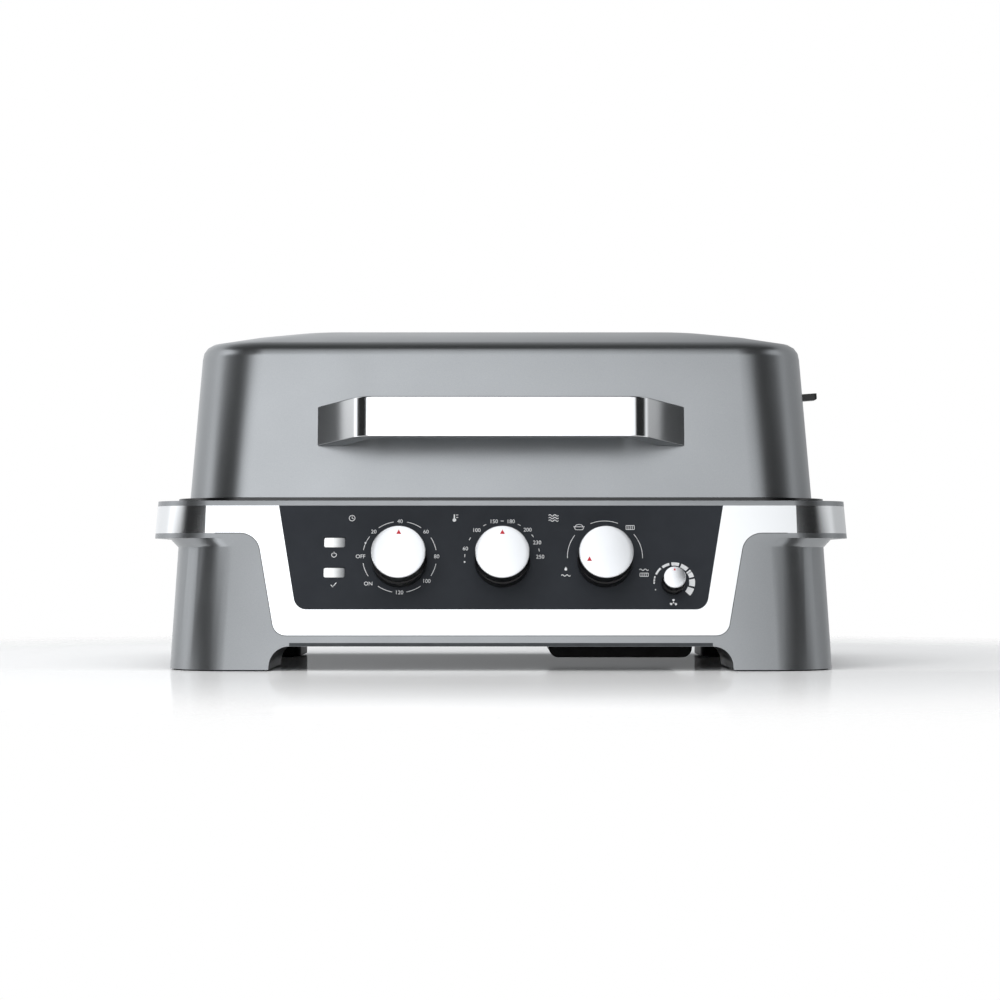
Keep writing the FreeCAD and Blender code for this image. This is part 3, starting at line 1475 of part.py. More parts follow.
def make_smoker_box():
    """Folded box for wood chips with smoke slots in its sides and two ears for the cover."""
    x0 = smoker_left
    x1 = smoker_right
    y0 = smoker_front_y
    y1 = smoker_front_y + smoker_length
    z0 = smoker_base_z + moving_gap
    t = smoker_sheet
    outside = plan_block(x0, x1, y0, y1, smoker_corner, z0, smoker_top_z)
    inside = plan_block(
        x0 + t, x1 - t, y0 + t, y1 - t, smoker_corner - t, z0 + t, smoker_top_z + cut_past)
    slots = []
    for i in range(smoker_slots):
        y = y0 + smoker_length * (i + 0.5) / smoker_slots
        slots.append(block(
            x0 - cut_past, x1 + cut_past, y - smoker_slot_width / 2, y + smoker_slot_width / 2,
            z0 + smoker_slot_foot, z0 + smoker_slot_foot + smoker_slot_height))
    box = outside.cut(inside).cut(Part.makeCompound(slots))
    for y in (y0 + smoker_ear_inset, y1 - smoker_ear_inset - smoker_ear):
        box = box.fuse(block(
            x1 - t, x1 + smoker_ear, y, y + smoker_ear,
            smoker_top_z - smoker_ear_drop, smoker_top_z + smoker_ear_rise))
    axis_x, axis_z = smoker_hinge_axis()
    bore = rod(
        smoker_pin_radius + running_fit, Vector(axis_x, y0, axis_z), Vector(axis_x, y1, axis_z))
    return box.cut(bore).removeSplitter()


def make_smoker_cover():
    """Flat cover, notched for the ears, with its hinge wire along one edge and a knob at the other."""
    axis_x, axis_z = smoker_hinge_axis()
    y0 = smoker_front_y
    y1 = smoker_front_y + smoker_length
    notch = smoker_ear_inset + smoker_ear + 2 * moving_gap
    z0 = smoker_top_z + moving_gap
    z1 = z0 + smoker_sheet
    shapes = [
        block(smoker_left, axis_x, y0 + notch, y1 - notch, z0, z1),
        block(smoker_left, axis_x - smoker_cover_notch, y0, y1, z0, z1),
        rod(smoker_pin_radius, Vector(axis_x, y0 + smoker_pin_inset, axis_z),
            Vector(axis_x, y1 - smoker_pin_inset, axis_z)),
        upright_rod(
            smoker_knob_radius, smoker_left + smoker_knob_inset, (y0 + y1) / 2,
            z0, z0 + smoker_knob_height),
    ]
    return fuse_all(shapes).removeSplitter()


def build_nodes():
    """Every node's shape by name."""
    nodes = {
        "base_housing": make_base_housing(),
        "front_fascia": make_front_fascia(),
        "control_panel": make_control_panel(),
        "power_lamp_lens": lamp_block(lamp_z[0]),
        "ready_lamp_lens": lamp_block(lamp_z[1]),
        "lamp_board": make_lamp_board(),
    }
    case_names = {
        "timer": "timer_unit", "thermostat": "thermostat_unit",
        "function": "function_switch", "blower": "blower_dimmer",
    }
    nuts = []
    for name, x, z, radius, size, turret, knob in controls():
        frame = on_panel(x, z)
        outer, height = knob
        nodes[case_names[name]] = put(control_unit(size, radius, turret), frame)
        nodes[name + "_shaft"] = put(make_control_shaft(radius, size[2], height), frame)
        nodes[name + "_knob_body"] = put(make_knob_body(outer, height, radius), frame)
        nodes[name + "_knob_cap"] = put(make_knob_cap(outer, height), frame)
        nuts.append(put(make_nut(radius), frame))
    nodes["control_nuts"] = Part.makeCompound(nuts)

    nodes["cooking_pan"] = make_cooking_pan()
    nodes["heat_shield"] = make_heat_shield()
    nodes["heating_element"] = make_heating_element()
    nodes["element_brackets"] = make_element_brackets()
    nodes["temperature_probe"] = make_temperature_probe()
    nodes["smoker_holder"] = make_smoker_holder()
    nodes["smoke_igniter"] = make_smoke_igniter()
    nodes["blower_housing"] = make_blower_housing()
    nodes["blower_motor"] = make_blower_motor()
    nodes["blower_impeller"] = make_blower_impeller()
    nodes["drain_spout"] = make_drain_spout()
    nodes["bottom_cover"] = make_bottom_cover()
    nodes["bottom_screws"] = make_bottom_screws()
    nodes["tray_runners"] = make_tray_runners()
    nodes["drip_tray"] = make_drip_tray()
    nodes["rear_foot_right"] = make_rear_foot()
    nodes["rear_foot_left"] = mirrored(make_rear_foot())
    nodes["foot_pads"] = make_foot_pads()
    nodes["hinge_brackets"] = make_hinge_brackets()
    nodes["hinge_pins"] = make_hinge_pins()
    nodes["power_inlet"] = make_power_inlet()
    nodes["terminal_block"] = make_terminal_block()

    nodes["lid_shell"] = make_lid_shell()
    nodes["lid_liner"] = make_lid_liner()
    nodes["lid_handle"] = make_lid_handle()
    nodes["handle_screws"] = make_handle_screws()
    nodes["hinge_arms"] = make_hinge_arms()
    nodes["vent_damper"] = make_vent_damper()

    nodes["grill_grate"] = make_grill_grate()
    nodes["smoker_box"] = make_smoker_box()
    nodes["smoker_cover"] = make_smoker_cover()
    return nodes


def centred(nodes):
    """Moves every piece alike along Y, so that the grill's overall depth is centred on the origin."""
    front = min(shape.BoundBox.YMin for shape in nodes.values())
    back = max(shape.BoundBox.YMax for shape in nodes.values())
    middle = (front + back) / 2
    print("middle of the depth before centring, mm:", round(middle, 4))
    for shape in nodes.values():
        shape.translate(Vector(0, -middle, 0))
    return nodes


os.makedirs("parts", exist_ok=True)
for node_name, node_shape in centred(build_nodes()).items():
    node_shape.exportStep("parts/" + node_name + ".step")
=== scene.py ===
import json
import math

import bmesh
import bpy
from mathutils import Matrix, Vector


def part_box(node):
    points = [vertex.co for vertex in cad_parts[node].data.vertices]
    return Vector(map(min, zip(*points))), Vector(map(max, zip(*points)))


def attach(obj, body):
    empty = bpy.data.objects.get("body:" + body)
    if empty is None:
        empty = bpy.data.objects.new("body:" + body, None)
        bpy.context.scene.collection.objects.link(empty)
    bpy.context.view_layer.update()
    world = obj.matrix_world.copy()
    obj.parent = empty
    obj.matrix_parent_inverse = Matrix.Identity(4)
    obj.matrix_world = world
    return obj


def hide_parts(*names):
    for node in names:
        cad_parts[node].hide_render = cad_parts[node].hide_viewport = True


# Electric table grill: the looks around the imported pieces. Metres, the front faces -Y, the table is Z = 0.

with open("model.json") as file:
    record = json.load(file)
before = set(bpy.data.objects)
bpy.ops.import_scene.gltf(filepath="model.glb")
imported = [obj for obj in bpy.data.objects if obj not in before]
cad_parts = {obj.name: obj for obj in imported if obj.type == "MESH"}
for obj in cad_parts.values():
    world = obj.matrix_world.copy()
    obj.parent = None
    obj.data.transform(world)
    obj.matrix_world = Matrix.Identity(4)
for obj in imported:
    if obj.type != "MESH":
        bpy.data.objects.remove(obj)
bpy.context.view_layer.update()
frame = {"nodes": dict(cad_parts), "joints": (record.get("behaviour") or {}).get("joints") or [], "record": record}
nodes = frame["nodes"]
joints = {joint["name"]: joint for joint in frame["joints"]}
mm = 0.001

# The front face leans back, and the dials' axes stand square to it
front_lean = math.radians(16.0)
panel_proud = 0.3 * mm       # the panel stands this much before the base's face
panel_out = Vector((0, -math.cos(front_lean), math.sin(front_lean)))


# Colour and node helpers

def linear(hex_colour):
    """An sRGB hex colour as the linear values that shaders take."""
    parts = [int(hex_colour[i:i + 2], 16) / 255 for i in (1, 3, 5)]
    return [c / 12.92 if c <= 0.04045 else ((c + 0.055) / 1.055) ** 2.4 for c in parts] + [1.0]


def add(tree, kind, settings=None, **links):
    """A node with its settings and what feeds its inputs: a value, or an output socket of another node.
    An input goes by its name, with _ for a space, or by i and its number."""
    made = tree.nodes.new(kind)
    for name, value in (settings or {}).items():
        setattr(made, name, value)
    for name, value in links.items():
        key = int(name[1:]) if name[0] == "i" and name[1:].isdigit() else name.replace("_", " ")
        if isinstance(value, bpy.types.NodeSocket):
            tree.links.new(value, made.inputs[key])
        else:
            made.inputs[key].default_value = value
    return made


def new_material(name):
    """An empty material and its tree."""
    material = bpy.data.materials.new(name)
    material.use_nodes = True
    material.node_tree.nodes.clear()
    return material, material.node_tree


def in_millimetres(tree):
    """Object coordinates in millimetres, so that patterns have real sizes."""
    where = add(tree, "ShaderNodeTexCoord")
    scaled = add(tree, "ShaderNodeVectorMath", {"operation": "SCALE"}, i0=where.outputs["Object"],
                 Scale=1 / mm)
    return scaled.outputs[0]


# Materials: widths, patches and depths of their patterns are in millimetres

# Most of a noise's values lie between the first two; the second pair gives a pattern more contrast
noise_low, noise_high = 0.3, 0.7
cloud_low, cloud_high = 0.35, 0.65


def two_toned(tree, where, width, low, high, first, second, **noise):
    """A noise of this width, and the tone that it blends from the first colour to the second as it rises
    from low to high."""
    pattern = add(tree, "ShaderNodeTexNoise", Vector=where, Scale=1 / width, **noise)
    share = add(tree, "ShaderNodeMapRange", Value=pattern.outputs[0], From_Min=low, From_Max=high)
    tone = add(tree, "ShaderNodeMix", {"data_type": "RGBA"}, i0=share.outputs[0], i6=linear(first),
               i7=linear(second))
    return pattern, tone


def flake_lacquer(name, base, shade, roughness):
    """Metallic lacquer, sprayed on pressed sheet and baked. Aluminium flakes lie flat in it, so it mirrors
    the room softly; single flakes sparkle, and the spray leaves a low orange peel."""
    material, tree = new_material(name)
    where = in_millimetres(tree)
    # Flakes are about 0.03 mm; drawn 0.6 mm wide so that they show
    flake_width = 0.6
    film_patch, film_change = 45.0, 0.015
    peel_width, peel_depth = 1.5, 0.003
    _, colour = two_toned(tree, where, flake_width, noise_low, noise_high, shade, base, Detail=1.0)
    film = add(tree, "ShaderNodeTexNoise", Vector=where, Scale=1 / film_patch)
    rough = add(tree, "ShaderNodeMapRange", Value=film.outputs[0], From_Min=noise_low, From_Max=noise_high,
                To_Min=roughness - film_change, To_Max=roughness + film_change)
    peel = add(tree, "ShaderNodeTexNoise", Vector=where, Scale=1 / peel_width)
    relief = add(tree, "ShaderNodeBump", Height=peel.outputs[0], Strength=0.4, Distance=peel_depth * mm)
    shader = add(tree, "ShaderNodeBsdfPrincipled", Base_Color=colour.outputs[2], Metallic=0.94,
                 Roughness=rough.outputs[0], Normal=relief.outputs[0])
    add(tree, "ShaderNodeOutputMaterial", Surface=shader.outputs[0])
    return material


def buffed_stainless(name, colour, edge, roughness):
    """Stainless strip, ground and buffed along its length: a near mirror with fine lines and a faint haze.
    Its edges, which face up or down, aren't buffed and stay dull, and their dark colour is painted shade."""
    material, tree = new_material(name)
    where = in_millimetres(tree)
    # Buffing lines are some hundredths of a millimetre apart; drawn 0.4 mm apart so that they show
    line_pitch, line_stretch, line_change = 0.4, 0.02, 0.02
    line_depth = 0.0004
    haze_patch, haze_change = 30.0, 0.02
    edge_roughness = 0.4
    along = add(tree, "ShaderNodeVectorMath", {"operation": "MULTIPLY"}, i0=where,
                i1=(line_stretch, 1.0, 1.0))
    lines = add(tree, "ShaderNodeTexNoise", Vector=along.outputs[0], Scale=1 / line_pitch)
    haze = add(tree, "ShaderNodeTexNoise", Vector=where, Scale=1 / haze_patch)
    lined = add(tree, "ShaderNodeMath", {"operation": "MULTIPLY_ADD"}, i0=lines.outputs[0], i1=line_change,
                i2=roughness)
    hazed = add(tree, "ShaderNodeMath", {"operation": "MULTIPLY_ADD"}, i0=haze.outputs[0], i1=haze_change,
                i2=lined.outputs[0])
    facing = add(tree, "ShaderNodeTexCoord")
    axes = add(tree, "ShaderNodeSeparateXYZ", i0=facing.outputs["Normal"])
    upright = add(tree, "ShaderNodeMath", {"operation": "ABSOLUTE"}, i0=axes.outputs[2])
    # Faces that turn up or down: left rough, and darkened by the edge colour as painted shade
    dull_shaded_edge = add(tree, "ShaderNodeMapRange", Value=upright.outputs[0], From_Min=0.55, From_Max=0.8)
    tone = add(tree, "ShaderNodeMix", {"data_type": "RGBA"}, i0=dull_shaded_edge.outputs[0], i6=linear(colour),
               i7=linear(edge))
    rough = add(tree, "ShaderNodeMix", {"data_type": "FLOAT"}, i0=dull_shaded_edge.outputs[0], i2=hazed.outputs[0],
                i3=edge_roughness)
    relief = add(tree, "ShaderNodeBump", Height=lines.outputs[0], Strength=0.4, Distance=line_depth * mm)
    shader = add(tree, "ShaderNodeBsdfPrincipled", Base_Color=tone.outputs[2], Metallic=1.0,
                 Roughness=rough.outputs[0], Normal=relief.outputs[0])
    add(tree, "ShaderNodeOutputMaterial", Surface=shader.outputs[0])
    return material


def worked_sheet(name, base, shade, roughness, cloud, depth=0.002):
    """Rolled, drawn or plated metal, left as its working leaves it: dull, clouded and faintly streaked."""
    material, tree = new_material(name)
    where = in_millimetres(tree)
    streak_width, streak_stretch, streak_change = 0.7, 0.05, 0.05
    _, colour = two_toned(tree, where, cloud, cloud_low, cloud_high, shade, base, Detail=4.0)
    rolled = add(tree, "ShaderNodeVectorMath", {"operation": "MULTIPLY"}, i0=where,
                 i1=(streak_stretch, 1.0, 1.0))
    streak = add(tree, "ShaderNodeTexNoise", Vector=rolled.outputs[0], Scale=1 / streak_width, Detail=3.0)
    rough = add(tree, "ShaderNodeMapRange", Value=streak.outputs[0], From_Min=noise_low, From_Max=noise_high,
                To_Min=roughness - streak_change, To_Max=roughness + streak_change)
    relief = add(tree, "ShaderNodeBump", Height=streak.outputs[0], Strength=0.4, Distance=depth * mm)
    shader = add(tree, "ShaderNodeBsdfPrincipled", Base_Color=colour.outputs[2], Metallic=1.0,
                 Roughness=rough.outputs[0], Normal=relief.outputs[0])
    add(tree, "ShaderNodeOutputMaterial", Surface=shader.outputs[0])
    return material


def moulded_resin(name, base, shade, roughness, grain, depth, gloss=0.5):
    """Plastic, rubber or powder coat: even colour, and the fine grain of the tool or the melted powder."""
    material, tree = new_material(name)
    where = in_millimetres(tree)
    flow_patch, grain_change = 15.0, 0.03
    _, colour = two_toned(tree, where, flow_patch, noise_low, noise_high, shade, base)
    spark = add(tree, "ShaderNodeTexNoise", Vector=where, Scale=1 / grain, Detail=3.0)
    rough = add(tree, "ShaderNodeMapRange", Value=spark.outputs[0], From_Min=noise_low, From_Max=noise_high,
                To_Min=roughness - grain_change, To_Max=roughness + grain_change)
    relief = add(tree, "ShaderNodeBump", Height=spark.outputs[0], Strength=0.4, Distance=depth * mm)
    shader = add(tree, "ShaderNodeBsdfPrincipled", Base_Color=colour.outputs[2], Roughness=rough.outputs[0],
                 IOR=1.5, Specular_IOR_Level=gloss, Normal=relief.outputs[0])
    add(tree, "ShaderNodeOutputMaterial", Surface=shader.outputs[0])
    return material


def vitreous_enamel(name, base, speck, roughness, gloss):
    """Glass frit fired on pressed steel: a hard film over a slow ripple, with a few pale specks."""
    material, tree = new_material(name)
    where = in_millimetres(tree)
    frit_width = 0.6
    flow_patch, flow_depth, flow_change = 8.0, 0.02, 0.04
    # Only the peaks of the frit's noise become specks
    peak_start, peak_full = 0.64, 0.74
    _, colour = two_toned(tree, where, frit_width, peak_start, peak_full, base, speck, Detail=1.0)
    flow = add(tree, "ShaderNodeTexNoise", Vector=where, Scale=1 / flow_patch)
    rough = add(tree, "ShaderNodeMapRange", Value=flow.outputs[0], From_Min=noise_low, From_Max=noise_high,
                To_Min=roughness - flow_change, To_Max=roughness + flow_change)
    relief = add(tree, "ShaderNodeBump", Height=flow.outputs[0], Strength=0.5, Distance=flow_depth * mm)
    shader = add(tree, "ShaderNodeBsdfPrincipled", Base_Color=colour.outputs[2], Roughness=rough.outputs[0],
                 IOR=1.52, Specular_IOR_Level=gloss, Normal=relief.outputs[0])
    add(tree, "ShaderNodeOutputMaterial", Surface=shader.outputs[0])
    return material


def coated_casting(name, base, shade):
    """Sand-cast iron under a baked non-stick coat: the sand's grain stays as a pebbled, half-dull surface."""
    material, tree = new_material(name)
    where = in_millimetres(tree)
    sand_width, sand_depth = 0.9, 0.08
    sand, colour = two_toned(tree, where, sand_width, cloud_low, cloud_high, shade, base, Detail=4.0,
                             Roughness=0.65)
    rough = add(tree, "ShaderNodeMapRange", Value=sand.outputs[0], From_Min=cloud_low, From_Max=cloud_high,
                To_Min=0.36, To_Max=0.56)
    relief = add(tree, "ShaderNodeBump", Height=sand.outputs[0], Strength=0.6, Distance=sand_depth * mm)
    shader = add(tree, "ShaderNodeBsdfPrincipled", Base_Color=colour.outputs[2], Roughness=rough.outputs[0],
                 IOR=1.5, Normal=relief.outputs[0])
    add(tree, "ShaderNodeOutputMaterial", Surface=shader.outputs[0])
    return material


def heated_tube(name, base, bloom):
    """Nickel-steel element tube after some use: brown and violet oxide bloom along it, dull."""
    material, tree = new_material(name)
    where = in_millimetres(tree)
    bloom_patch = 30.0
    scale_width, scale_depth = 0.8, 0.01
    _, colour = two_toned(tree, where, bloom_patch, cloud_low, cloud_high, base, bloom, Detail=3.0)
    scale = add(tree, "ShaderNodeTexNoise", Vector=where, Scale=1 / scale_width, Detail=3.0)
    rough = add(tree, "ShaderNodeMapRange", Value=scale.outputs[0], From_Min=noise_low, From_Max=noise_high,
                To_Min=0.42, To_Max=0.6)
    relief = add(tree, "ShaderNodeBump", Height=scale.outputs[0], Strength=0.4, Distance=scale_depth * mm)
    shader = add(tree, "ShaderNodeBsdfPrincipled", Base_Color=colour.outputs[2], Metallic=1.0,
                 Roughness=rough.outputs[0], Normal=relief.outputs[0])
    add(tree, "ShaderNodeOutputMaterial", Surface=shader.outputs[0])
    return material


def turned_aluminium(name, colour):
    """Faced on a lathe and anodised: fine rings about the middle spread each reflection into a soft fan."""
    material, tree = new_material(name)
    # Turning rings are about 0.1 mm apart; this draws them 0.35 mm apart on the large caps so that they show
    ring_phase, ring_depth = 750.0, 0.0004
    spot = add(tree, "ShaderNodeTexCoord")
    middle = add(tree, "ShaderNodeVectorMath", {"operation": "SUBTRACT"}, i0=spot.outputs["Generated"],
                 i1=(0.5, 0.5, 0.5))
    radius = add(tree, "ShaderNodeVectorMath", {"operation": "LENGTH"}, i0=middle.outputs[0])
    phase = add(tree, "ShaderNodeMath", {"operation": "MULTIPLY"}, i0=radius.outputs["Value"], i1=ring_phase)
    wave = add(tree, "ShaderNodeMath", {"operation": "SINE"}, i0=phase.outputs[0])
    rough = add(tree, "ShaderNodeMapRange", Value=wave.outputs[0], From_Min=-1.0, From_Max=1.0, To_Min=0.20,
                To_Max=0.24)
    relief = add(tree, "ShaderNodeBump", Height=wave.outputs[0], Strength=0.3, Distance=ring_depth * mm)
    shader = add(tree, "ShaderNodeBsdfPrincipled", Base_Color=linear(colour), Metallic=1.0,
                 Roughness=rough.outputs[0], Normal=relief.outputs[0])
    add(tree, "ShaderNodeOutputMaterial", Surface=shader.outputs[0])
    return material


def screen_ink(name, colour):
    """Screen-printed ink: a thin, fully covering film, a little uneven in gloss."""
    material, tree = new_material(name)
    where = in_millimetres(tree)
    film_width, thin_share = 0.8, 0.92
    film = add(tree, "ShaderNodeTexNoise", Vector=where, Scale=1 / film_width)
    full = linear(colour)
    thin = [c * thin_share for c in full[:3]] + [1.0]
    tone = add(tree, "ShaderNodeMix", {"data_type": "RGBA"}, i0=film.outputs[0], i6=thin, i7=full)
    rough = add(tree, "ShaderNodeMapRange", Value=film.outputs[0], From_Min=noise_low, From_Max=noise_high,
                To_Min=0.45, To_Max=0.55)
    shader = add(tree, "ShaderNodeBsdfPrincipled", Base_Color=tone.outputs[2], Roughness=rough.outputs[0])
    add(tree, "ShaderNodeOutputMaterial", Surface=shader.outputs[0])
    return material


def frosted_lens(name, near, far):
    """Moulded acrylic, frosted at the back, under a smooth gloss. Its colour is painted light: bright on the
    left and fading to grey on the right, and it glows faintly in the same gradient."""
    material, tree = new_material(name)
    where = in_millimetres(tree)
    frost_width = 0.5
    spot = add(tree, "ShaderNodeTexCoord")
    axes = add(tree, "ShaderNodeSeparateXYZ", i0=spot.outputs["Generated"])
    # Painted light: the colour runs from bright on the left to grey on the right
    painted_light_fade = add(tree, "ShaderNodeMapRange", {"interpolation_type": "SMOOTHSTEP"}, Value=axes.outputs[0],
               From_Min=0.3, From_Max=1.0)
    frost = add(tree, "ShaderNodeTexNoise", Vector=where, Scale=1 / frost_width)
    tone = add(tree, "ShaderNodeMix", {"data_type": "RGBA"}, i0=painted_light_fade.outputs[0], i6=linear(near),
               i7=linear(far))
    rough = add(tree, "ShaderNodeMapRange", Value=frost.outputs[0], From_Min=noise_low, From_Max=noise_high,
                To_Min=0.24, To_Max=0.3)
    shader = add(tree, "ShaderNodeBsdfPrincipled", Base_Color=tone.outputs[2], Roughness=rough.outputs[0],
                 IOR=1.49, Emission_Color=tone.outputs[2], Emission_Strength=0.25)
    add(tree, "ShaderNodeOutputMaterial", Surface=shader.outputs[0])
    return material


def glass_laminate(name, base, shade):
    """Glass-fibre board under green lacquer, with the weave showing through."""
    material, tree = new_material(name)
    where = in_millimetres(tree)
    weave_width, weave_depth = 0.6, 0.01
    weave = add(tree, "ShaderNodeTexChecker", Vector=where, Scale=1 / weave_width)
    tone = add(tree, "ShaderNodeMix", {"data_type": "RGBA"}, i0=weave.outputs["Fac"], i6=linear(base),
               i7=linear(shade))
    relief = add(tree, "ShaderNodeBump", Height=weave.outputs["Fac"], Strength=0.3, Distance=weave_depth * mm)
    shader = add(tree, "ShaderNodeBsdfPrincipled", Base_Color=tone.outputs[2], Roughness=0.35,
                 Normal=relief.outputs[0])
    add(tree, "ShaderNodeOutputMaterial", Surface=shader.outputs[0])
    return material


materials = {
    "lid_paint": flake_lacquer("lid_grey_flake_lacquer", "#999b9d", "#949698", roughness=0.29),
    "housing_paint": flake_lacquer("base_grey_flake_lacquer", "#9b9d9f", "#96989a", roughness=0.29),
    # The second colour is painted shade on the belt's faces that turn up or down
    "polished_steel": buffed_stainless("belt_buffed_stainless", "#e9eaeb", "#5c6063", roughness=0.14),
    "panel_plastic": moulded_resin(
        "panel_satin_black_film", "#2f3237", "#2c2f34", roughness=0.55, grain=0.3, depth=0.003, gloss=0.2),
    # Bright on the left and grey on the right: painted light
    "lamp_lens": frosted_lens("lamp_frosted_acrylic", "#f4f5f5", "#77797b"),
    "circuit_board": glass_laminate("lamp_board_laminate", "#0f4a2c", "#145636"),
    "control_case": moulded_resin(
        "control_case_thermoset", "#1c1c1d", "#161617", roughness=0.5, grain=0.8, depth=0.02),
    "zinc_steel": worked_sheet("zinc_plated_steel", "#c3c6c8", "#a8acaf", roughness=0.32, cloud=2.0),
    "knob_plastic": moulded_resin(
        "knob_black_abs", "#0a0a0c", "#070708", roughness=0.3, grain=0.6, depth=0.002, gloss=0.35),
    "knob_metal": turned_aluminium("knob_cap_turned_aluminium", "#d8d9db"),
    "pan_enamel": vitreous_enamel("pan_gloss_black_enamel", "#101011", "#26262a", roughness=0.22, gloss=0.5),
    "shield_steel": worked_sheet("shield_aluminised_sheet", "#b9baba", "#a1a2a3", roughness=0.36, cloud=5.0),
    "element_sheath": heated_tube("element_heated_nickel_steel", "#6b6158", "#4b4450"),
    "motor_steel": worked_sheet("motor_drawn_steel", "#a5a8ab", "#8b8e92", roughness=0.32, cloud=6.0),
    "blower_plastic": moulded_resin(
        "blower_black_nylon", "#1a1a1b", "#151516", roughness=0.55, grain=0.8, depth=0.02),
    "cover_steel": moulded_resin(
        "cover_powder_coat", "#242527", "#1b1c1d", roughness=0.55, grain=0.5, depth=0.03),
    "tray_enamel": vitreous_enamel("tray_matt_black_enamel", "#08080a", "#111114", roughness=0.45, gloss=0.1),
    # Near black as painted shade: the rear feet stand deep under the body, and this colour stands for their shadow
    "foot_plastic": moulded_resin(
        "rear_foot_painted_shade_black", "#0e0e10", "#0a0a0c", roughness=0.5, grain=0.5, depth=0.02, gloss=0.2),
    "pad_rubber": moulded_resin(
        "sole_black_rubber", "#1a1a1b", "#151516", roughness=0.75, grain=0.8, depth=0.03),
    "grate_iron": coated_casting("grate_coated_cast_iron", "#1f1f20", "#151516"),
    "smoker_steel": worked_sheet(
        "smoker_folded_stainless", "#c4c5c5", "#b8b9b9", roughness=0.34, cloud=8.0, depth=0.0004),
    "inlet_plastic": moulded_resin(
        "inlet_black_thermoset", "#141415", "#0f0f10", roughness=0.45, grain=0.6, depth=0.01),
    "vent_plastic": moulded_resin(
        "vent_tab_black_coat", "#0e0e10", "#0b0b0c", roughness=0.42, grain=0.5, depth=0.01),
    "lid_inside": worked_sheet("liner_aluminised_sheet", "#bbbcba", "#b0b1ae", roughness=0.36, cloud=6.0),
}
# The second colour is painted shade on the handle's faces that turn up or down
handle_steel = buffed_stainless("handle_buffed_stainless", "#e9eaeb", "#585c5f", roughness=0.12)
white_ink = screen_ink("dial_white_ink", "#f0f1f2")
red_ink = screen_ink("pointer_red_ink", "#c9202f")
# Painted shadow: a thin dark line that stands for the shadow in the gap round the apron
seam_gap_shadow = moulded_resin("seam_painted_gap_shadow", "#2a2d30", "#222427", roughness=0.6, grain=0.5, depth=0.005)
# Painted shade: a dark strip that stands for the shaded underside of the rail's lower edge
lip_shade = moulded_resin("lip_painted_shade", "#3d4144", "#33363a", roughness=0.5, grain=0.5, depth=0.01)


# Finish of the carried-over pieces

def smoothing_group(degrees):
    """Joins doubled points and shades smooth across edges that turn by less than the angle."""
    group = bpy.data.node_groups.new("smooth_" + str(degrees), "GeometryNodeTree")
    group.interface.new_socket("Geometry", in_out="INPUT", socket_type="NodeSocketGeometry")
    group.interface.new_socket("Geometry", in_out="OUTPUT", socket_type="NodeSocketGeometry")
    start = add(group, "NodeGroupInput")
    weld = add(group, "GeometryNodeMergeByDistance", Geometry=start.outputs[0], Distance=0.002 * mm)
    soft = add(group, "GeometryNodeSetShadeSmooth", {"domain": "FACE"}, Geometry=weld.outputs[0],
               Shade_Smooth=True)
    turn = add(group, "GeometryNodeInputMeshEdgeAngle")
    flat = add(group, "FunctionNodeCompare", {"data_type": "FLOAT", "operation": "LESS_EQUAL"},
               i0=turn.outputs["Unsigned Angle"], i1=math.radians(degrees))
    edges = add(group, "GeometryNodeSetShadeSmooth", {"domain": "EDGE"}, Geometry=soft.outputs[0],
                Shade_Smooth=flat.outputs[0])
    add(group, "NodeGroupOutput", i0=edges.outputs[0])
    return group


smooth_flat = smoothing_group(28)
smooth_tube = smoothing_group(66)


def round_edges(piece, width, segments, least_turn):
    """Rounds the edges that turn by more than the least turn, in degrees; the width is in millimetres."""
    edge = piece.modifiers.new("edge", "BEVEL")
    edge.width = width * mm
    edge.segments = segments
    edge.limit_method = "ANGLE"
    edge.angle_limit = math.radians(least_turn)
    edge.harden_normals = True


def dress(piece, material):
    """Gives a piece its one material."""
    piece.data.materials.clear()
    piece.data.materials.append(material)


# Widths of the rounded edges, in millimetres
edge_rounds = {
    "base_housing": 0.5, "front_fascia": 0.25, "control_panel": 0.15, "cooking_pan": 0.5,
    "drip_tray": 0.4, "rear_foot_right": 0.8, "rear_foot_left": 0.8, "grill_grate": 0.4,
    "hinge_brackets": 0.4, "hinge_arms": 0.4, "power_inlet": 0.3, "smoker_cover": 0.2, "vent_damper": 0.2,
}
drawn_round = ("heating_element", "temperature_probe", "smoke_igniter", "blower_motor", "bottom_screws",
               "hinge_pins", "drain_spout")
slots = {part["node"]: part["material_slot"] for part in frame["record"]["subparts"]}
for node_name, piece in nodes.items():
    dress(piece, materials[slots[node_name]])
    smooth = piece.modifiers.new("smooth", "NODES")
    smooth.node_group = smooth_tube if node_name in drawn_round else smooth_flat
    if node_name in edge_rounds:
        round_edges(piece, edge_rounds[node_name], segments=2, least_turn=40)


# Mesh helpers

def finished(name, mesh, material, body, smooth_angle=30.0):
    """Turns a mesh into a piece that rides on a body."""
    piece = bpy.data.objects.new(name, mesh)
    bpy.context.scene.collection.objects.link(piece)
    dress(piece, material)
    for face in mesh.polygons:
        face.use_smooth = True
    mesh.set_sharp_from_angle(angle=math.radians(smooth_angle))
    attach(piece, body)
    return piece


def from_bmesh(shape, name):
    """A mesh from a shape that isn't needed afterwards."""
    bmesh.ops.remove_doubles(shape, verts=shape.verts, dist=0.001 * mm)
    bmesh.ops.recalc_face_normals(shape, faces=shape.faces)
    mesh = bpy.data.meshes.new(name)
    shape.to_mesh(mesh)
    shape.free()
    return mesh


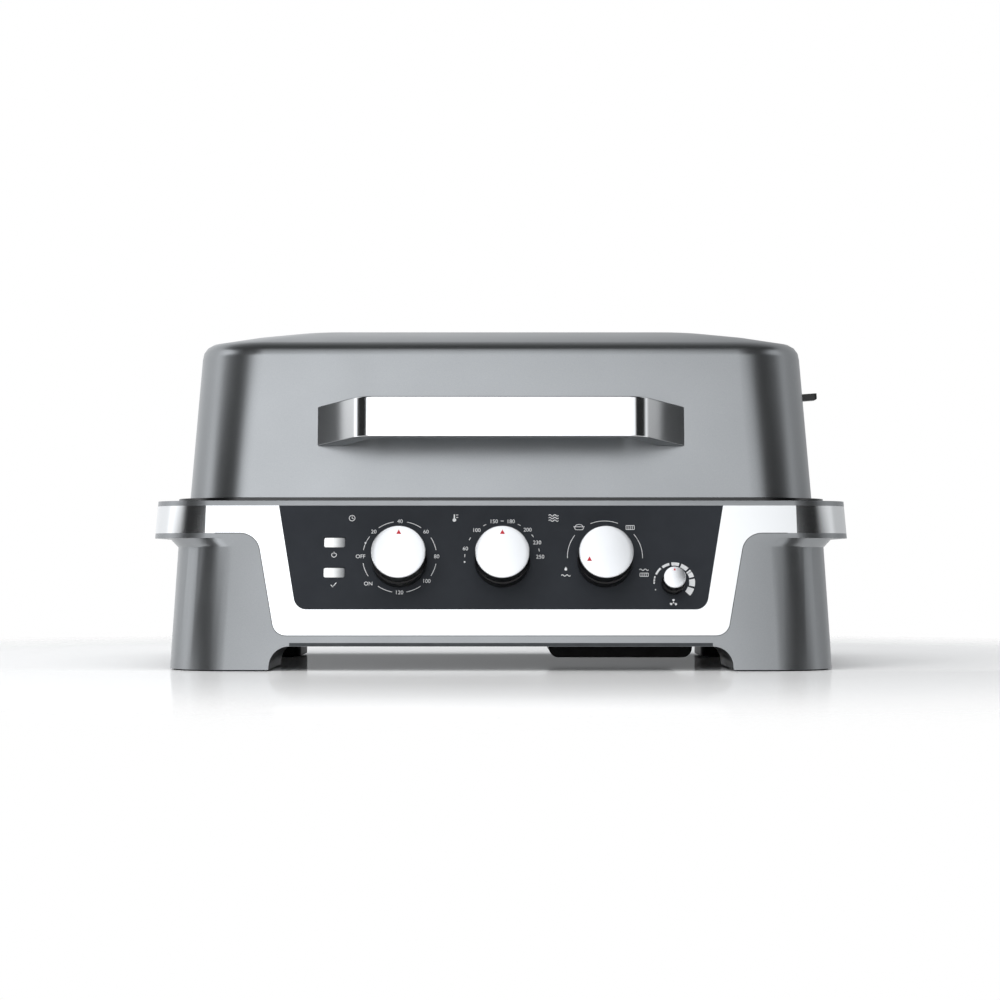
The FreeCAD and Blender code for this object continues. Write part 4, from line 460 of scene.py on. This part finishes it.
def rings_mesh(name, rings):
    """Closed skin through rings of equally many points."""
    shape = bmesh.new()
    loops = [[shape.verts.new(point) for point in ring] for ring in rings]
    count = len(loops[0])
    for low, high in zip(loops, loops[1:]):
        for i in range(count):
            after = (i + 1) % count
            shape.faces.new((low[i], low[after], high[after], high[i]))
    shape.faces.new(list(reversed(loops[0])))
    shape.faces.new(loops[-1])
    return from_bmesh(shape, name)


near_axis = 0.02             # a lathe form's profile ends this near its axis, in millimetres


def turned_mesh(name, profile, segments, place):
    """Lathe form from (radius, height) points in millimetres, about the place's own Z."""
    rings = []
    for radius, height in profile:
        ring = []
        for i in range(segments):
            angle = 2 * math.pi * i / segments
            ring.append(place @ Vector((radius * math.cos(angle), radius * math.sin(angle), height)))
        rings.append(ring)
    return rings_mesh(name, rings)


def rounded(points, corner_steps):
    """Rounds the corners of a line: each point is (x, y, radius of its corner)."""
    made = []
    for i, (x, y, turn) in enumerate(points):
        if turn == 0 or i == 0 or i == len(points) - 1:
            made.append((x, y))
            continue
        here = Vector((x, y))
        back = (Vector(points[i - 1][:2]) - here).normalized()
        ahead = (Vector(points[i + 1][:2]) - here).normalized()
        half = back.angle(ahead) / 2
        centre = here + (back + ahead).normalized() * (turn / math.sin(half))
        start = here + back * (turn / math.tan(half)) - centre
        sweep = math.pi - 2 * half
        side = 1 if back.x * ahead.y - back.y * ahead.x < 0 else -1
        for step in range(corner_steps + 1):
            turned = Matrix.Rotation(side * sweep * step / corner_steps, 2) @ start
            made.append((centre.x + turned.x, centre.y + turned.y))
    return made


# Places on the leaning front

def dial_frame(joint_name):
    """Frame on the panel's face at a knob: Z points out of the panel, Y up along it, in millimetres."""
    foot = Vector(joints[joint_name]["pos_m"]) + panel_out * panel_proud * math.cos(front_lean)
    tilt = Matrix.Rotation(math.pi / 2 - front_lean, 4, "X")
    return Matrix.Translation(foot) @ tilt @ Matrix.Scale(mm, 4)


def on_panel(x, z):
    """Frame at a place of the panel given in millimetres across and up."""
    known = dial_frame("thermostat_knob_turn")
    foot = Vector(joints["thermostat_knob_turn"]["pos_m"])
    rise = z * mm - foot.z
    shift = Vector((x * mm - foot.x, rise * math.tan(front_lean), rise))
    return Matrix.Translation(shift) @ known


# Thin raised shapes, for prints and trim

def polar(centre, radius, angle):
    """A point at an angle in degrees, clockwise from the top."""
    turn = math.radians(angle)
    return (centre[0] + radius * math.sin(turn), centre[1] + radius * math.cos(turn))


class Print:
    """Gathers thin raised shapes in one mesh; all sizes are in millimetres."""

    dot_sides = 20
    arc_step = 3                 # degrees
    mitre_limit = 0.3            # least cosine of half a turn, so that a sharp corner grows no spike
    font_size = 1.4              # for each millimetre of a numeral's height

    def __init__(self, thickness, sink):
        self.shape = bmesh.new()
        self.thickness = thickness
        self.sink = sink

    def outline(self, place, points):
        """Flat closed shape."""
        low = [self.shape.verts.new(place @ Vector((x, y, -self.sink))) for x, y in points]
        high = [self.shape.verts.new(place @ Vector((x, y, self.thickness))) for x, y in points]
        self.shape.faces.new(high)
        self.shape.faces.new(list(reversed(low)))
        for i in range(len(points)):
            after = (i + 1) % len(points)
            self.shape.faces.new((low[i], low[after], high[after], high[i]))

    def band(self, place, centre, inner, outer, start, end):
        """Part of a ring; angles in degrees, clockwise from the top."""
        steps = max(2, int(abs(end - start) / self.arc_step))
        angles = [start + (end - start) * i / steps for i in range(steps + 1)]
        for first, second in zip(angles, angles[1:]):
            self.outline(place, [polar(centre, inner, first), polar(centre, outer, first),
                                 polar(centre, outer, second), polar(centre, inner, second)])

    def line(self, place, points, width):
        """Strip of one width along a line of points, mitred at its corners."""
        sides = []
        for i, point in enumerate(points):
            here = Vector(point)
            runs = []
            if i > 0:
                runs.append((here - Vector(points[i - 1])).normalized())
            if i < len(points) - 1:
                runs.append((Vector(points[i + 1]) - here).normalized())
            mean = sum(runs, Vector((0, 0))).normalized()
            out = Vector((-mean.y, mean.x)) * width / 2 / max(self.mitre_limit, mean.dot(runs[0]))
            sides.append((here + out, here - out))
        for (a, b), (c, d) in zip(sides, sides[1:]):
            self.outline(place, [tuple(a), tuple(b), tuple(d), tuple(c)])

    def dot(self, place, centre, radius):
        """Round spot."""
        turns = [360 * i / self.dot_sides for i in range(self.dot_sides)]
        self.outline(place, [polar(centre, radius, turn) for turn in turns])

    def text(self, place, words, centre, height):
        """Plain numerals with their middle at the centre."""
        curve = bpy.data.curves.new("numeral", "FONT")
        curve.body = words
        curve.size = height * self.font_size
        curve.align_x = "CENTER"
        curve.align_y = "CENTER"
        curve.resolution_u = 4
        curve.extrude = self.thickness / 2
        holder = bpy.data.objects.new("numeral", curve)
        bpy.context.scene.collection.objects.link(holder)
        bpy.context.view_layer.update()
        mesh = bpy.data.meshes.new_from_object(holder.evaluated_get(bpy.context.evaluated_depsgraph_get()))
        mesh.transform(place @ Matrix.Translation((centre[0], centre[1], self.thickness / 2)))
        self.shape.from_mesh(mesh)
        bpy.data.objects.remove(holder)
        bpy.data.curves.remove(curve)
        bpy.data.meshes.remove(mesh)

    def piece(self, name, material, body, slot):
        """The finished piece of all that was gathered."""
        return finished(name, from_bmesh(self.shape, name), material, body)


# Knobs

knob_radius = 21.0
knob_height = 27.0
knob_groove = 10.0           # height of the shadow groove over the skirt's foot
knob_skirt = 0.5             # how far the skirt stands out past the cap
small_knob_radius = 8.8
small_knob_height = 20.5
small_knob_groove = 7.0
small_knob_skirt = 0.3
cap_thickness = 1.6
cap_crown = 0.45             # the caps' middle stands this much above their rim
knob_lift = 0.6              # the skirt's foot clears the panel by this much
knob_sides = 96
large_pointer = (3.8, 3.6)   # width and height of the printed triangle
small_pointer = (2.2, 2.2)


def knob_grip(name, place, radius, height, groove, skirt):
    """Black body with an inner wall: a flared skirt, a shadow groove, and a collar that carries the cap."""
    wall, roof = 2.2, 2.6
    inner, neck, collar = radius - wall, radius - 0.9, radius - 0.4
    brow, top = knob_lift + groove, height - cap_thickness
    outside = rounded([
        (inner, knob_lift, 0), (radius + skirt, knob_lift, 0.5), (radius + skirt * 0.6, brow, 0.7),
        (neck, brow + 0.6, 0.5), (neck, top - 1.0, 0.3), (collar, top, 0.2), (near_axis, top, 0)],
        corner_steps=5)
    inside = [(near_axis, top - roof), (inner, top - roof), (inner, knob_lift)]
    mesh = turned_mesh(name + "_knob_grip", outside + inside, knob_sides, place)
    grip = finished(name + "_knob_grip", mesh, materials["knob_plastic"], name + "_knob",
                    smooth_angle=35)
    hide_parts(name + "_knob_body")


def knob_face(name, place, radius, height):
    """Bright cap with a rounded edge and a crowned face."""
    foot, rim = height - cap_thickness, height - cap_crown
    crown_steps = 12
    edge = rounded([(near_axis, foot, 0), (radius - 0.35, foot, 0.15), (radius - 0.2, rim - 0.5, 0.25),
                    (radius - 0.7, rim, 0.3), (radius - 1.2, rim + 0.02, 0)], corner_steps=4)
    shares = [1 - i / crown_steps for i in range(1, crown_steps)]
    crown = [(radius * share, rim + cap_crown * (1 - share ** 2)) for share in shares]
    mesh = turned_mesh(name + "_knob_face", edge + crown + [(near_axis, height)], knob_sides, place)
    cap = finished(name + "_knob_face", mesh, materials["knob_metal"], name + "_knob",
                   smooth_angle=35)
    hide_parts(name + "_knob_cap")


def pointer(name, place, radius, height, middle, size):
    """Printed triangle, lying on the crowned cap."""
    x, y = middle
    half, rise = size[0] / 2, size[1] / 2
    level = height - cap_crown * (x * x + y * y) / radius ** 2
    ink = Print(thickness=0.06, sink=0.2)
    triangle = [(x - half, y - rise), (x + half, y - rise), (x, y + rise)]
    ink.outline(place @ Matrix.Translation((0, 0, level)), triangle)
    ink.piece(name + "_pointer", red_ink, name + "_knob", "knob_plastic")


def knob(name, radius, height, groove, skirt, pointer_at, pointer_size):
    """A whole knob, round its joint's axis."""
    place = dial_frame(name + "_knob_turn")
    knob_grip(name, place, radius, height, groove, skirt)
    knob_face(name, place, radius, height)
    pointer(name, place, radius, height, pointer_at, pointer_size)


# A pointer's middle is given in millimetres from its knob's axis
for name, pointer_at in (("timer", (0.2, 15.6)), ("thermostat", (0.1, 15.6)), ("function", (-12.9, -5.8))):
    knob(name, knob_radius, knob_height, knob_groove, knob_skirt, pointer_at, large_pointer)
knob("blower", small_knob_radius, small_knob_height, small_knob_groove, small_knob_skirt, (0.0, 6.0),
     small_pointer)


# Lamp lenses

lamp_width = 16.0
lamp_height = 7.7
lamp_corner = 1.3
# From the foot in the window up over the pillow: inset from the outline, and height over the panel
lamp_profile = ((0, -3.0), (0, -0.1), (0.12, 0.12), (0.35, 0.25), (1.0, 0.36), (2.0, 0.45), (3.2, 0.5))


def lens(name, node):
    """Pillow-shaped lens in the panel's window."""
    low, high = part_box(node)
    middle = (low + high) / 2
    place = on_panel(middle.x / mm, middle.z / mm)
    corner_steps = 6
    corner_shrink, least_corner = 0.3, 0.3
    rings = []
    for inset, height in lamp_profile:
        turn = max(lamp_corner - inset * corner_shrink, least_corner)
        x, y = lamp_width / 2 - inset - turn, lamp_height / 2 - inset - turn
        ring = []
        for quarter, (cx, cy) in enumerate(((x, y), (-x, y), (-x, -y), (x, -y))):
            for step in range(corner_steps + 1):
                angle = math.pi / 2 * (quarter + step / corner_steps)
                spot = (cx + turn * math.cos(angle), cy + turn * math.sin(angle), height)
                ring.append(place @ Vector(spot))
        rings.append(ring)
    piece = finished(name, rings_mesh(name, rings), materials["lamp_lens"], "base",
                     smooth_angle=50)
    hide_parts(node)


lens("power_lamp_window", "power_lamp_lens")
lens("ready_lamp_window", "ready_lamp_lens")


# Lid handle and its screws

lid_lean = math.radians(6.0)         # the lid's front leans back
handle_half = 143.8
handle_height = 31.2
handle_reach = 50.0
handle_elbow = 108.2                 # half width where arm and bar would meet
handle_bar = 10.0                    # thickness of the bar, and of an arm along the lid
handle_arm = 19.8
handle_rounds = (19.0, 15.0)         # outer and inner radius of the elbows
handle_edge = 0.9


def on_lid():
    """Frame on the lid at the handle's middle: Z points out of the lid, Y up along it, in millimetres."""
    low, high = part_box("lid_handle")
    rise = handle_height / 2 * mm
    foot = Vector((0, high.y - rise * math.sin(lid_lean), low.z + rise * math.cos(lid_lean)))
    return Matrix.Translation(foot) @ Matrix.Rotation(math.pi / 2 - lid_lean, 4, "X") @ Matrix.Scale(mm, 4)


def bar_handle(place):
    """Steel bar across the lid, on two slanting arms."""
    outer, inner = handle_rounds
    elbow_steps = 20
    foot, under = handle_half - handle_arm, handle_reach - handle_bar
    elbow = handle_elbow - handle_arm + handle_bar
    outside = rounded([(handle_half, 0, 0), (handle_elbow, handle_reach, outer),
                       (-handle_elbow, handle_reach, outer), (-handle_half, 0, 0)], elbow_steps)
    inside = rounded([(-foot, 0, 0), (-elbow, under, inner), (elbow, under, inner), (foot, 0, 0)],
                     elbow_steps)
    rings = [[place @ Vector((u, level, v)) for u, v in outside + inside]
             for level in (-handle_height / 2, handle_height / 2)]
    handle = finished("lid_bar_handle", rings_mesh("lid_bar_handle", rings), handle_steel, "lid",
                      smooth_angle=35)
    round_edges(handle, handle_edge, segments=3, least_turn=60)
    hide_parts("lid_handle")


def handle_screws(place):
    """Two screws: a pan head under the lid's wall, and a shank that ends inside the arm."""
    profile = [(near_axis, -4.4), (3.4, -4.4), (4.3, -3.9), (4.5, -2.0), (2.5, -2.0), (2.5, 8.0), (2.0, 8.6),
               (near_axis, 8.6)]
    screw_sides = 32
    screws = bmesh.new()
    for side in (-1, 1):
        middle = Matrix.Translation((side * (handle_half - handle_arm / 2), 0, 0))
        part = turned_mesh("screw", profile, screw_sides, place @ middle)
        screws.from_mesh(part)
        bpy.data.meshes.remove(part)
    slot = slots["handle_screws"]
    mesh = from_bmesh(screws, "lid_handle_screws")
    piece = finished("lid_handle_screws", mesh, materials[slot], "lid", smooth_angle=40)
    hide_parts("handle_screws")


bar_handle(on_lid())
handle_screws(on_lid())


# Printed marks: places are in millimetres from a knob's axis, angles in degrees clockwise from the top

marks = Print(thickness=0.05, sink=0.02)
ring_rise = 3.3              # the printed ring sits this much above the knob's axis
ring_radius = 28.6
line_width = 0.45
wave_width = 0.55
numeral = 3.1
centre = (0.0, ring_rise)
inner, outer = ring_radius - line_width / 2, ring_radius + line_width / 2


def wave(place, middle, width, height):
    """Rising smoke: a wavy line across, two waves long."""
    steps, wave_steps = 16, 8
    points = [(middle[0] - width / 2 + width * i / steps,
               middle[1] + height / 2 * math.sin(2 * math.pi * i / wave_steps)) for i in range(steps + 1)]
    marks.line(place, points, wave_width)


def grid(place, middle, width, height):
    """Grill: a frame with bars."""
    bars = 4
    left, right = middle[0] - width / 2, middle[0] + width / 2
    foot, top = middle[1] - height / 2, middle[1] + height / 2
    marks.line(place, [(left, foot), (right, foot)], line_width)
    marks.line(place, [(left, top), (right, top)], line_width)
    for i in range(bars + 1):
        x = left + width * i / bars
        marks.line(place, [(x, foot), (x, top)], line_width)


def pot(place, middle, width, height):
    """Roasting: a lidded dish."""
    arch_steps = 10
    left, right = middle[0] - width / 2, middle[0] + width / 2
    foot, rim = middle[1] - height / 2, middle[1] + height * 0.1
    body = rounded([(left, rim, 0), (left + 0.3, foot, 1.0), (right - 0.3, foot, 1.0), (right, rim, 0)],
                   corner_steps=4)
    marks.line(place, body, line_width)
    marks.line(place, [(left - 0.9, rim), (right + 0.9, rim)], line_width)
    arch = [(middle[0] - (width / 2 - 0.6) * math.cos(math.pi * i / arch_steps),
             rim + 0.3 + height * 0.4 * math.sin(math.pi * i / arch_steps)) for i in range(arch_steps + 1)]
    marks.line(place, arch, line_width)


def flame(place, middle, size):
    """Drop-shaped flame."""
    steps = 20
    points = []
    for i in range(steps):
        angle = 2 * math.pi * i / steps
        lift = max(0.0, math.cos(angle))
        points.append((middle[0] + size * 0.42 * math.sin(angle) * (1 - 0.55 * lift ** 2),
                       middle[1] + size * (0.42 * math.cos(angle) + 0.35 * lift ** 4)))
    marks.outline(place, points)


def clock(place, middle):
    """Time: a dial with two hands."""
    x, y = middle
    marks.band(place, middle, 2.0, 2.0 + line_width, 0, 360)
    marks.line(place, [(x, y + 1.5), (x, y), (x + 1.2, y - 0.7)], 0.42)


def thermometer(place, middle):
    """Heat: a bulb, its stem and two ticks."""
    x, y = middle
    marks.dot(place, (x, y - 1.5), 1.4)
    marks.line(place, [(x, y - 1.5), (x, y + 3.0)], 1.0)
    for rise in (0.6, 2.6):
        marks.line(place, [(x + 1.4, y + rise), (x + 3.0, y + rise)], 0.5)


def fan(place, middle):
    """Blower: a hub with three blades."""
    blade = ((0.9, 0), (1.7, -26), (2.6, -24), (3.1, 0), (2.9, 22), (1.9, 28))
    marks.dot(place, middle, 0.6)
    for turn in (0, 120, 240):
        marks.outline(place, [polar(middle, radius, turn + angle) for radius, angle in blade])


# Timer: minutes
timer = dial_frame("timer_knob_turn")
minutes = (("20", -45), ("40", 0), ("60", 45), ("80", 89.5), ("100", 133), ("120", 180))
minute_arcs = ((-169, -145), (-123, -100), (-79, -55), (-35, -10), (11, 35), (57, 79), (101, 122), (145, 169))
for start, end in minute_arcs:
    marks.band(timer, centre, inner, outer, start, end)
marks.dot(timer, polar(centre, ring_radius + 0.2, -67), 0.75)
for words, angle in minutes:
    marks.text(timer, words, polar(centre, ring_radius, angle), numeral)
marks.text(timer, "OFF", polar(centre, ring_radius + 1.6, -89.5), numeral)
marks.text(timer, "ON", polar(centre, ring_radius + 3.6, -132), numeral)

# Thermostat: degrees, with a tick between each two
thermostat = dial_frame("thermostat_knob_turn")
temperatures = (("60", -77), ("100", -43), ("150", -13), ("180", 13), ("200", 42), ("230", 67), ("250", 90))
tick_radius, tick_half = ring_radius + 0.4, 2.4
for words, angle in temperatures:
    marks.text(thermostat, words, polar(centre, ring_radius + 0.7, angle), numeral)
for angle in (-88, -60, -28, 0, 27, 54, 79):
    marks.line(thermostat, [polar(centre, tick_radius, angle - tick_half),
                            polar(centre, tick_radius, angle + tick_half)], line_width)
marks.dot(thermostat, polar(centre, ring_radius + 0.8, -98), 0.7)

# Functions: arcs between four signs
function = dial_frame("function_knob_turn")
for start, end in ((-92, -53), (-22, 21), (51, 92)):
    marks.band(function, centre, inner + 0.4, outer + 0.4, start, end)
flame(function, (-30.3, -6.6), 2.6)
wave(function, (-30.3, -11.6), 7.0, 1.2)
pot(function, (-19.8, 27.2), 6.8, 4.0)
grid(function, (19.8, 27.0), 6.4, 3.2)
wave(function, (30.0, -7.0), 7.0, 1.2)
grid(function, (30.0, -11.0), 6.4, 2.6)

# Signs over the three dials
sign_rise = 34.6             # height of the signs above the knobs' axes
clock(timer, (-37.2, sign_rise))
thermometer(thermostat, (-37.2, sign_rise))
for rise in (-2.0, 0.1, 2.2):
    wave(function, (-39.5, sign_rise + rise), 7.6, 1.3)

# Blower: a wedge of blocks and a fan
blower = dial_frame("blower_knob_turn")
scale_centre = (0.9, 1.2)
scale_outer = 16.0
scale_start, scale_sweep = -112, 232.0
blocks = 9
pitch = scale_sweep / (blocks - 1)
block_gap = 6.0              # degrees between two blocks
for i in range(blocks):
    middle = scale_start + i * pitch
    width = 0.7 + 4.4 * (i / (blocks - 1)) ** 1.2
    half = 1.6 if i == 0 else (pitch - block_gap) / 2
    marks.band(blower, scale_centre, scale_outer - width, scale_outer, middle - half, middle + half)
fan(blower, (0.0, -15.0))

# Signs under the lamps: a power ring and a check mark
power = on_panel(-129.0, 88.7)
marks.band(power, (0, 0), 1.55, 2.05, 35, 325)
marks.line(power, [(0, 0.7), (0, 2.5)], 0.5)
ready = on_panel(-129.0, 65.6)
marks.line(ready, [(-2.0, 0.1), (-0.5, -1.5), (2.2, 1.8)], 0.6)

marks.piece("dial_print", white_ink, "base", "panel_plastic")


# Painted shadow in the seam round the apron, and a painted shade strip on the lip under the rail, on the leaning
# front face

face = on_panel(0.0, 0.0) @ Matrix.Translation((0, 0, -panel_proud / mm))
slope = 1 / math.cos(front_lean)     # millimetres along the face for each millimetre up
apron_half = 173.7
apron_foot = 26.9
apron_flare = 15.5
belt_foot = 105.8
seam_half = 222.0
seam_width = 0.5
shoulder, corner = 16.0, 11.0        # radii of the seam's bends
belt_level, foot_level = belt_foot * slope, apron_foot * slope
seam_line = rounded([
    (-seam_half, belt_level, 0), (-apron_half - apron_flare, belt_level, shoulder),
    (-apron_half, foot_level, corner), (apron_half, foot_level, corner),
    (apron_half + apron_flare, belt_level, shoulder), (seam_half, belt_level, 0)], corner_steps=10)
# A dark line along the seam, painted as the gap's shadow
seam = Print(thickness=0.05, sink=0.3)
seam.line(face, seam_line, seam_width)
seam.piece("apron_seam_shadow", seam_gap_shadow, "base", "housing_paint")

lip_middle = 20.1
lip_half = 162.0
lip_width = 2.7
# A dark strip along the rail's lower edge, painted as the shade under it
lip = Print(thickness=0.12, sink=0.3)
lip.line(face, [(-lip_half, lip_middle * slope), (lip_half, lip_middle * slope)], lip_width)
lip.piece("rail_lip_shade", lip_shade, "base", "cover_steel")


# Studio

def softbox(name, place, toward, size, power):
    """Soft light that only brightens: its own shape isn't mirrored in the metal."""
    light = bpy.data.lights.new(name, "AREA")
    light.shape = "RECTANGLE"
    light.size, light.size_y = size
    light.energy = power
    holder = bpy.data.objects.new(name, light)
    holder.location = place
    holder.rotation_euler = (Vector(toward) - Vector(place)).to_track_quat("-Z", "Y").to_euler()
    holder.visible_glossy = False
    bpy.context.scene.collection.objects.link(holder)


def pale_floor():
    """White floor, most polished before the grill, thinning out with distance into the white behind it."""
    shape = bmesh.new()
    reach = 2.0
    shape.faces.new([shape.verts.new((x, y, 0)) for x, y in (
        (-reach, -reach), (reach, -reach), (reach, reach), (-reach, reach))])
    mesh = bpy.data.meshes.new("studio_floor")
    shape.to_mesh(mesh)
    shape.free()
    floor = bpy.data.objects.new("studio_floor", mesh)
    bpy.context.scene.collection.objects.link(floor)
    material, tree = new_material("studio_floor_white")
    # Distances are metres from the grill's middle
    where = add(tree, "ShaderNodeTexCoord")
    distance = add(tree, "ShaderNodeVectorMath", {"operation": "LENGTH"}, i0=where.outputs["Object"])
    axes = add(tree, "ShaderNodeSeparateXYZ", i0=where.outputs["Object"])
    worn = add(tree, "ShaderNodeMapRange", Value=distance.outputs["Value"], From_Min=0.4, From_Max=1.0,
               To_Min=1.0, To_Max=0.0)
    front = add(tree, "ShaderNodeMapRange", Value=axes.outputs[1], From_Min=-0.21, From_Max=-0.16, To_Min=0.5,
                To_Max=0.25)
    polish = add(tree, "ShaderNodeMath", {"operation": "MULTIPLY"}, i0=worn.outputs[0], i1=front.outputs[0])
    thin = add(tree, "ShaderNodeMapRange", {"interpolation_type": "SMOOTHSTEP"},
               Value=distance.outputs["Value"], From_Min=0.5, From_Max=0.95)
    board = add(tree, "ShaderNodeBsdfPrincipled", Base_Color=linear("#fbfbfb"), Roughness=1.0,
                Specular_IOR_Level=0.0, Coat_Weight=polish.outputs[0], Coat_Roughness=0.06)
    gone = add(tree, "ShaderNodeBsdfTransparent")
    faded = add(tree, "ShaderNodeMixShader", i0=thin.outputs[0], i1=board.outputs[0], i2=gone.outputs[0])
    add(tree, "ShaderNodeOutputMaterial", Surface=faded.outputs[0])
    floor.data.materials.append(material)


def white_room():
    """Bright walls, brighter on the left, a dim ceiling, and two dark things on each side: a tall flag
    towards the front and a low board behind it. The camera itself sees plain white."""
    world = bpy.data.worlds.new("white_room")
    bpy.context.scene.world = world
    world.use_nodes = True
    tree = world.node_tree
    tree.nodes.clear()
    smooth = {"interpolation_type": "SMOOTHSTEP"}
    plus, times = {"operation": "ADD"}, {"operation": "MULTIPLY"}
    ray = add(tree, "ShaderNodeTexCoord")
    axes = add(tree, "ShaderNodeSeparateXYZ", i0=ray.outputs["Generated"])
    x, y, z = axes.outputs
    side = add(tree, "ShaderNodeMath", {"operation": "ABSOLUTE"}, i0=x)
    ahead = add(tree, "ShaderNodeMath", times, i0=y, i1=-1.0)
    bearing = add(tree, "ShaderNodeMath", {"operation": "ARCTAN2"}, i0=side.outputs[0], i1=ahead.outputs[0])
    climb = add(tree, "ShaderNodeMath", {"operation": "ARCSINE"}, i0=z)
    # Degrees: the turn goes from the front to either side, the height up from the horizon
    turn = add(tree, "ShaderNodeMath", {"operation": "DEGREES"}, i0=bearing.outputs[0])
    height = add(tree, "ShaderNodeMath", {"operation": "DEGREES"}, i0=climb.outputs[0])
    # The flags lean: out at the height that the lid mirrors, in above it
    out = add(tree, "ShaderNodeMapRange", smooth, Value=height.outputs[0], From_Min=3.0, From_Max=12.0,
              To_Min=0.0, To_Max=-13.0)
    back = add(tree, "ShaderNodeMapRange", smooth, Value=height.outputs[0], From_Min=19.0, From_Max=30.0,
               To_Min=0.0, To_Max=21.0)
    lean = add(tree, "ShaderNodeMath", plus, i0=out.outputs[0], i1=back.outputs[0])
    slant = add(tree, "ShaderNodeMath", plus, i0=lean.outputs[0], i1=turn.outputs[0])
    enter = add(tree, "ShaderNodeMapRange", smooth, Value=slant.outputs[0], From_Min=13.0, From_Max=23.0)
    # High up the flags reach round the sides, so that the lid's corners stay dark to their top
    wrap = add(tree, "ShaderNodeMapRange", smooth, Value=height.outputs[0], From_Min=36.0, From_Max=46.0,
               To_Min=0.0, To_Max=-50.0)
    far = add(tree, "ShaderNodeMath", plus, i0=slant.outputs[0], i1=wrap.outputs[0])
    leave = add(tree, "ShaderNodeMapRange", smooth, Value=far.outputs[0], From_Min=62.0, From_Max=84.0,
                To_Min=1.0, To_Max=0.0)
    low = add(tree, "ShaderNodeMapRange", smooth, Value=height.outputs[0], From_Min=52.0, From_Max=64.0,
              To_Min=1.0, To_Max=0.0)
    flag = add(tree, "ShaderNodeMath", times, i0=enter.outputs[0], i1=leave.outputs[0])
    flag = add(tree, "ShaderNodeMath", times, i0=flag.outputs[0], i1=low.outputs[0])
    walls = add(tree, "ShaderNodeMapRange", Value=x, From_Min=-0.12, From_Max=0.12, To_Min=2.3, To_Max=1.3)
    beyond = add(tree, "ShaderNodeMapRange", smooth, Value=turn.outputs[0], From_Min=78.0, From_Max=106.0,
                 To_Min=1.0, To_Max=0.45)
    walls = add(tree, "ShaderNodeMath", times, i0=walls.outputs[0], i1=beyond.outputs[0])
    # The arms of the handle mirror the low boards
    board = add(tree, "ShaderNodeMapRange", smooth, Value=turn.outputs[0], From_Min=96.0, From_Max=104.0)
    board_end = add(tree, "ShaderNodeMapRange", smooth, Value=turn.outputs[0], From_Min=122.0, From_Max=134.0,
                    To_Min=1.0, To_Max=0.0)
    board_top = add(tree, "ShaderNodeMapRange", smooth, Value=z, From_Min=0.10, From_Max=0.16, To_Min=0.35,
                    To_Max=0.0)
    board = add(tree, "ShaderNodeMath", times, i0=board.outputs[0], i1=board_end.outputs[0])
    board = add(tree, "ShaderNodeMath", times, i0=board.outputs[0], i1=board_top.outputs[0])
    ceiling = add(tree, "ShaderNodeMapRange", Value=y, From_Min=-0.1, From_Max=0.4, To_Min=0.045, To_Max=0.42)
    over = add(tree, "ShaderNodeMapRange", smooth, Value=height.outputs[0], From_Min=43.0, From_Max=57.0)
    room = add(tree, "ShaderNodeMix", {"data_type": "FLOAT"}, i0=over.outputs[0], i2=walls.outputs[0],
               i3=ceiling.outputs[0])
    room = add(tree, "ShaderNodeMix", {"data_type": "FLOAT"}, i0=board.outputs[0], i2=room.outputs[0], i3=0.0)
    room = add(tree, "ShaderNodeMix", {"data_type": "FLOAT"}, i0=flag.outputs[0], i2=room.outputs[0], i3=0.02)
    lit = add(tree, "ShaderNodeBackground", Color=linear("#fbfdff"), Strength=room.outputs[0])
    seen = add(tree, "ShaderNodeBackground", Color=linear("#ffffff"), Strength=1.0)
    path = add(tree, "ShaderNodeLightPath")
    mixed = add(tree, "ShaderNodeMixShader", i0=path.outputs["Is Camera Ray"], i1=lit.outputs[0],
                i2=seen.outputs[0])
    add(tree, "ShaderNodeOutputWorld", Surface=mixed.outputs[0])


pale_floor()
white_room()
softbox("key_left", place=(-1.3, -1.9, 1.5), toward=(0, -0.1, 0.15), size=(1.2, 1.2), power=14)
softbox("top", place=(0, -0.5, 2.4), toward=(0, 0, 0), size=(2.4, 2.0), power=34)

# Camera: the photograph's own angle, from the front, low, two metres before the handle
camera_distance = 2.0
handle_plane = -0.184
eye_height = 0.081
picture_columns = 1000
photo_scale = 0.77 * mm      # size of one of the photograph's columns at the handle's plane
horizon_rise = 65.0          # pixels of the horizon below the middle of the picture
middle_shift = 1.0           # pixels of the grill's middle right of the picture's middle
pixels_per_radian = camera_distance / photo_scale
camera_data = bpy.data.cameras.new("photo_camera")
camera_data.sensor_width = 36.0
camera_data.lens = pixels_per_radian * camera_data.sensor_width / picture_columns
camera_data.clip_end = 100
camera = bpy.data.objects.new("photo_camera", camera_data)
camera.location = (-middle_shift * photo_scale, handle_plane - camera_distance, eye_height)
camera.rotation_euler = (math.pi / 2 + math.atan(horizon_rise / pixels_per_radian), 0, 0)
bpy.context.scene.collection.objects.link(camera)
bpy.context.scene.camera = camera
bpy.context.scene.view_settings.view_transform = "Standard"
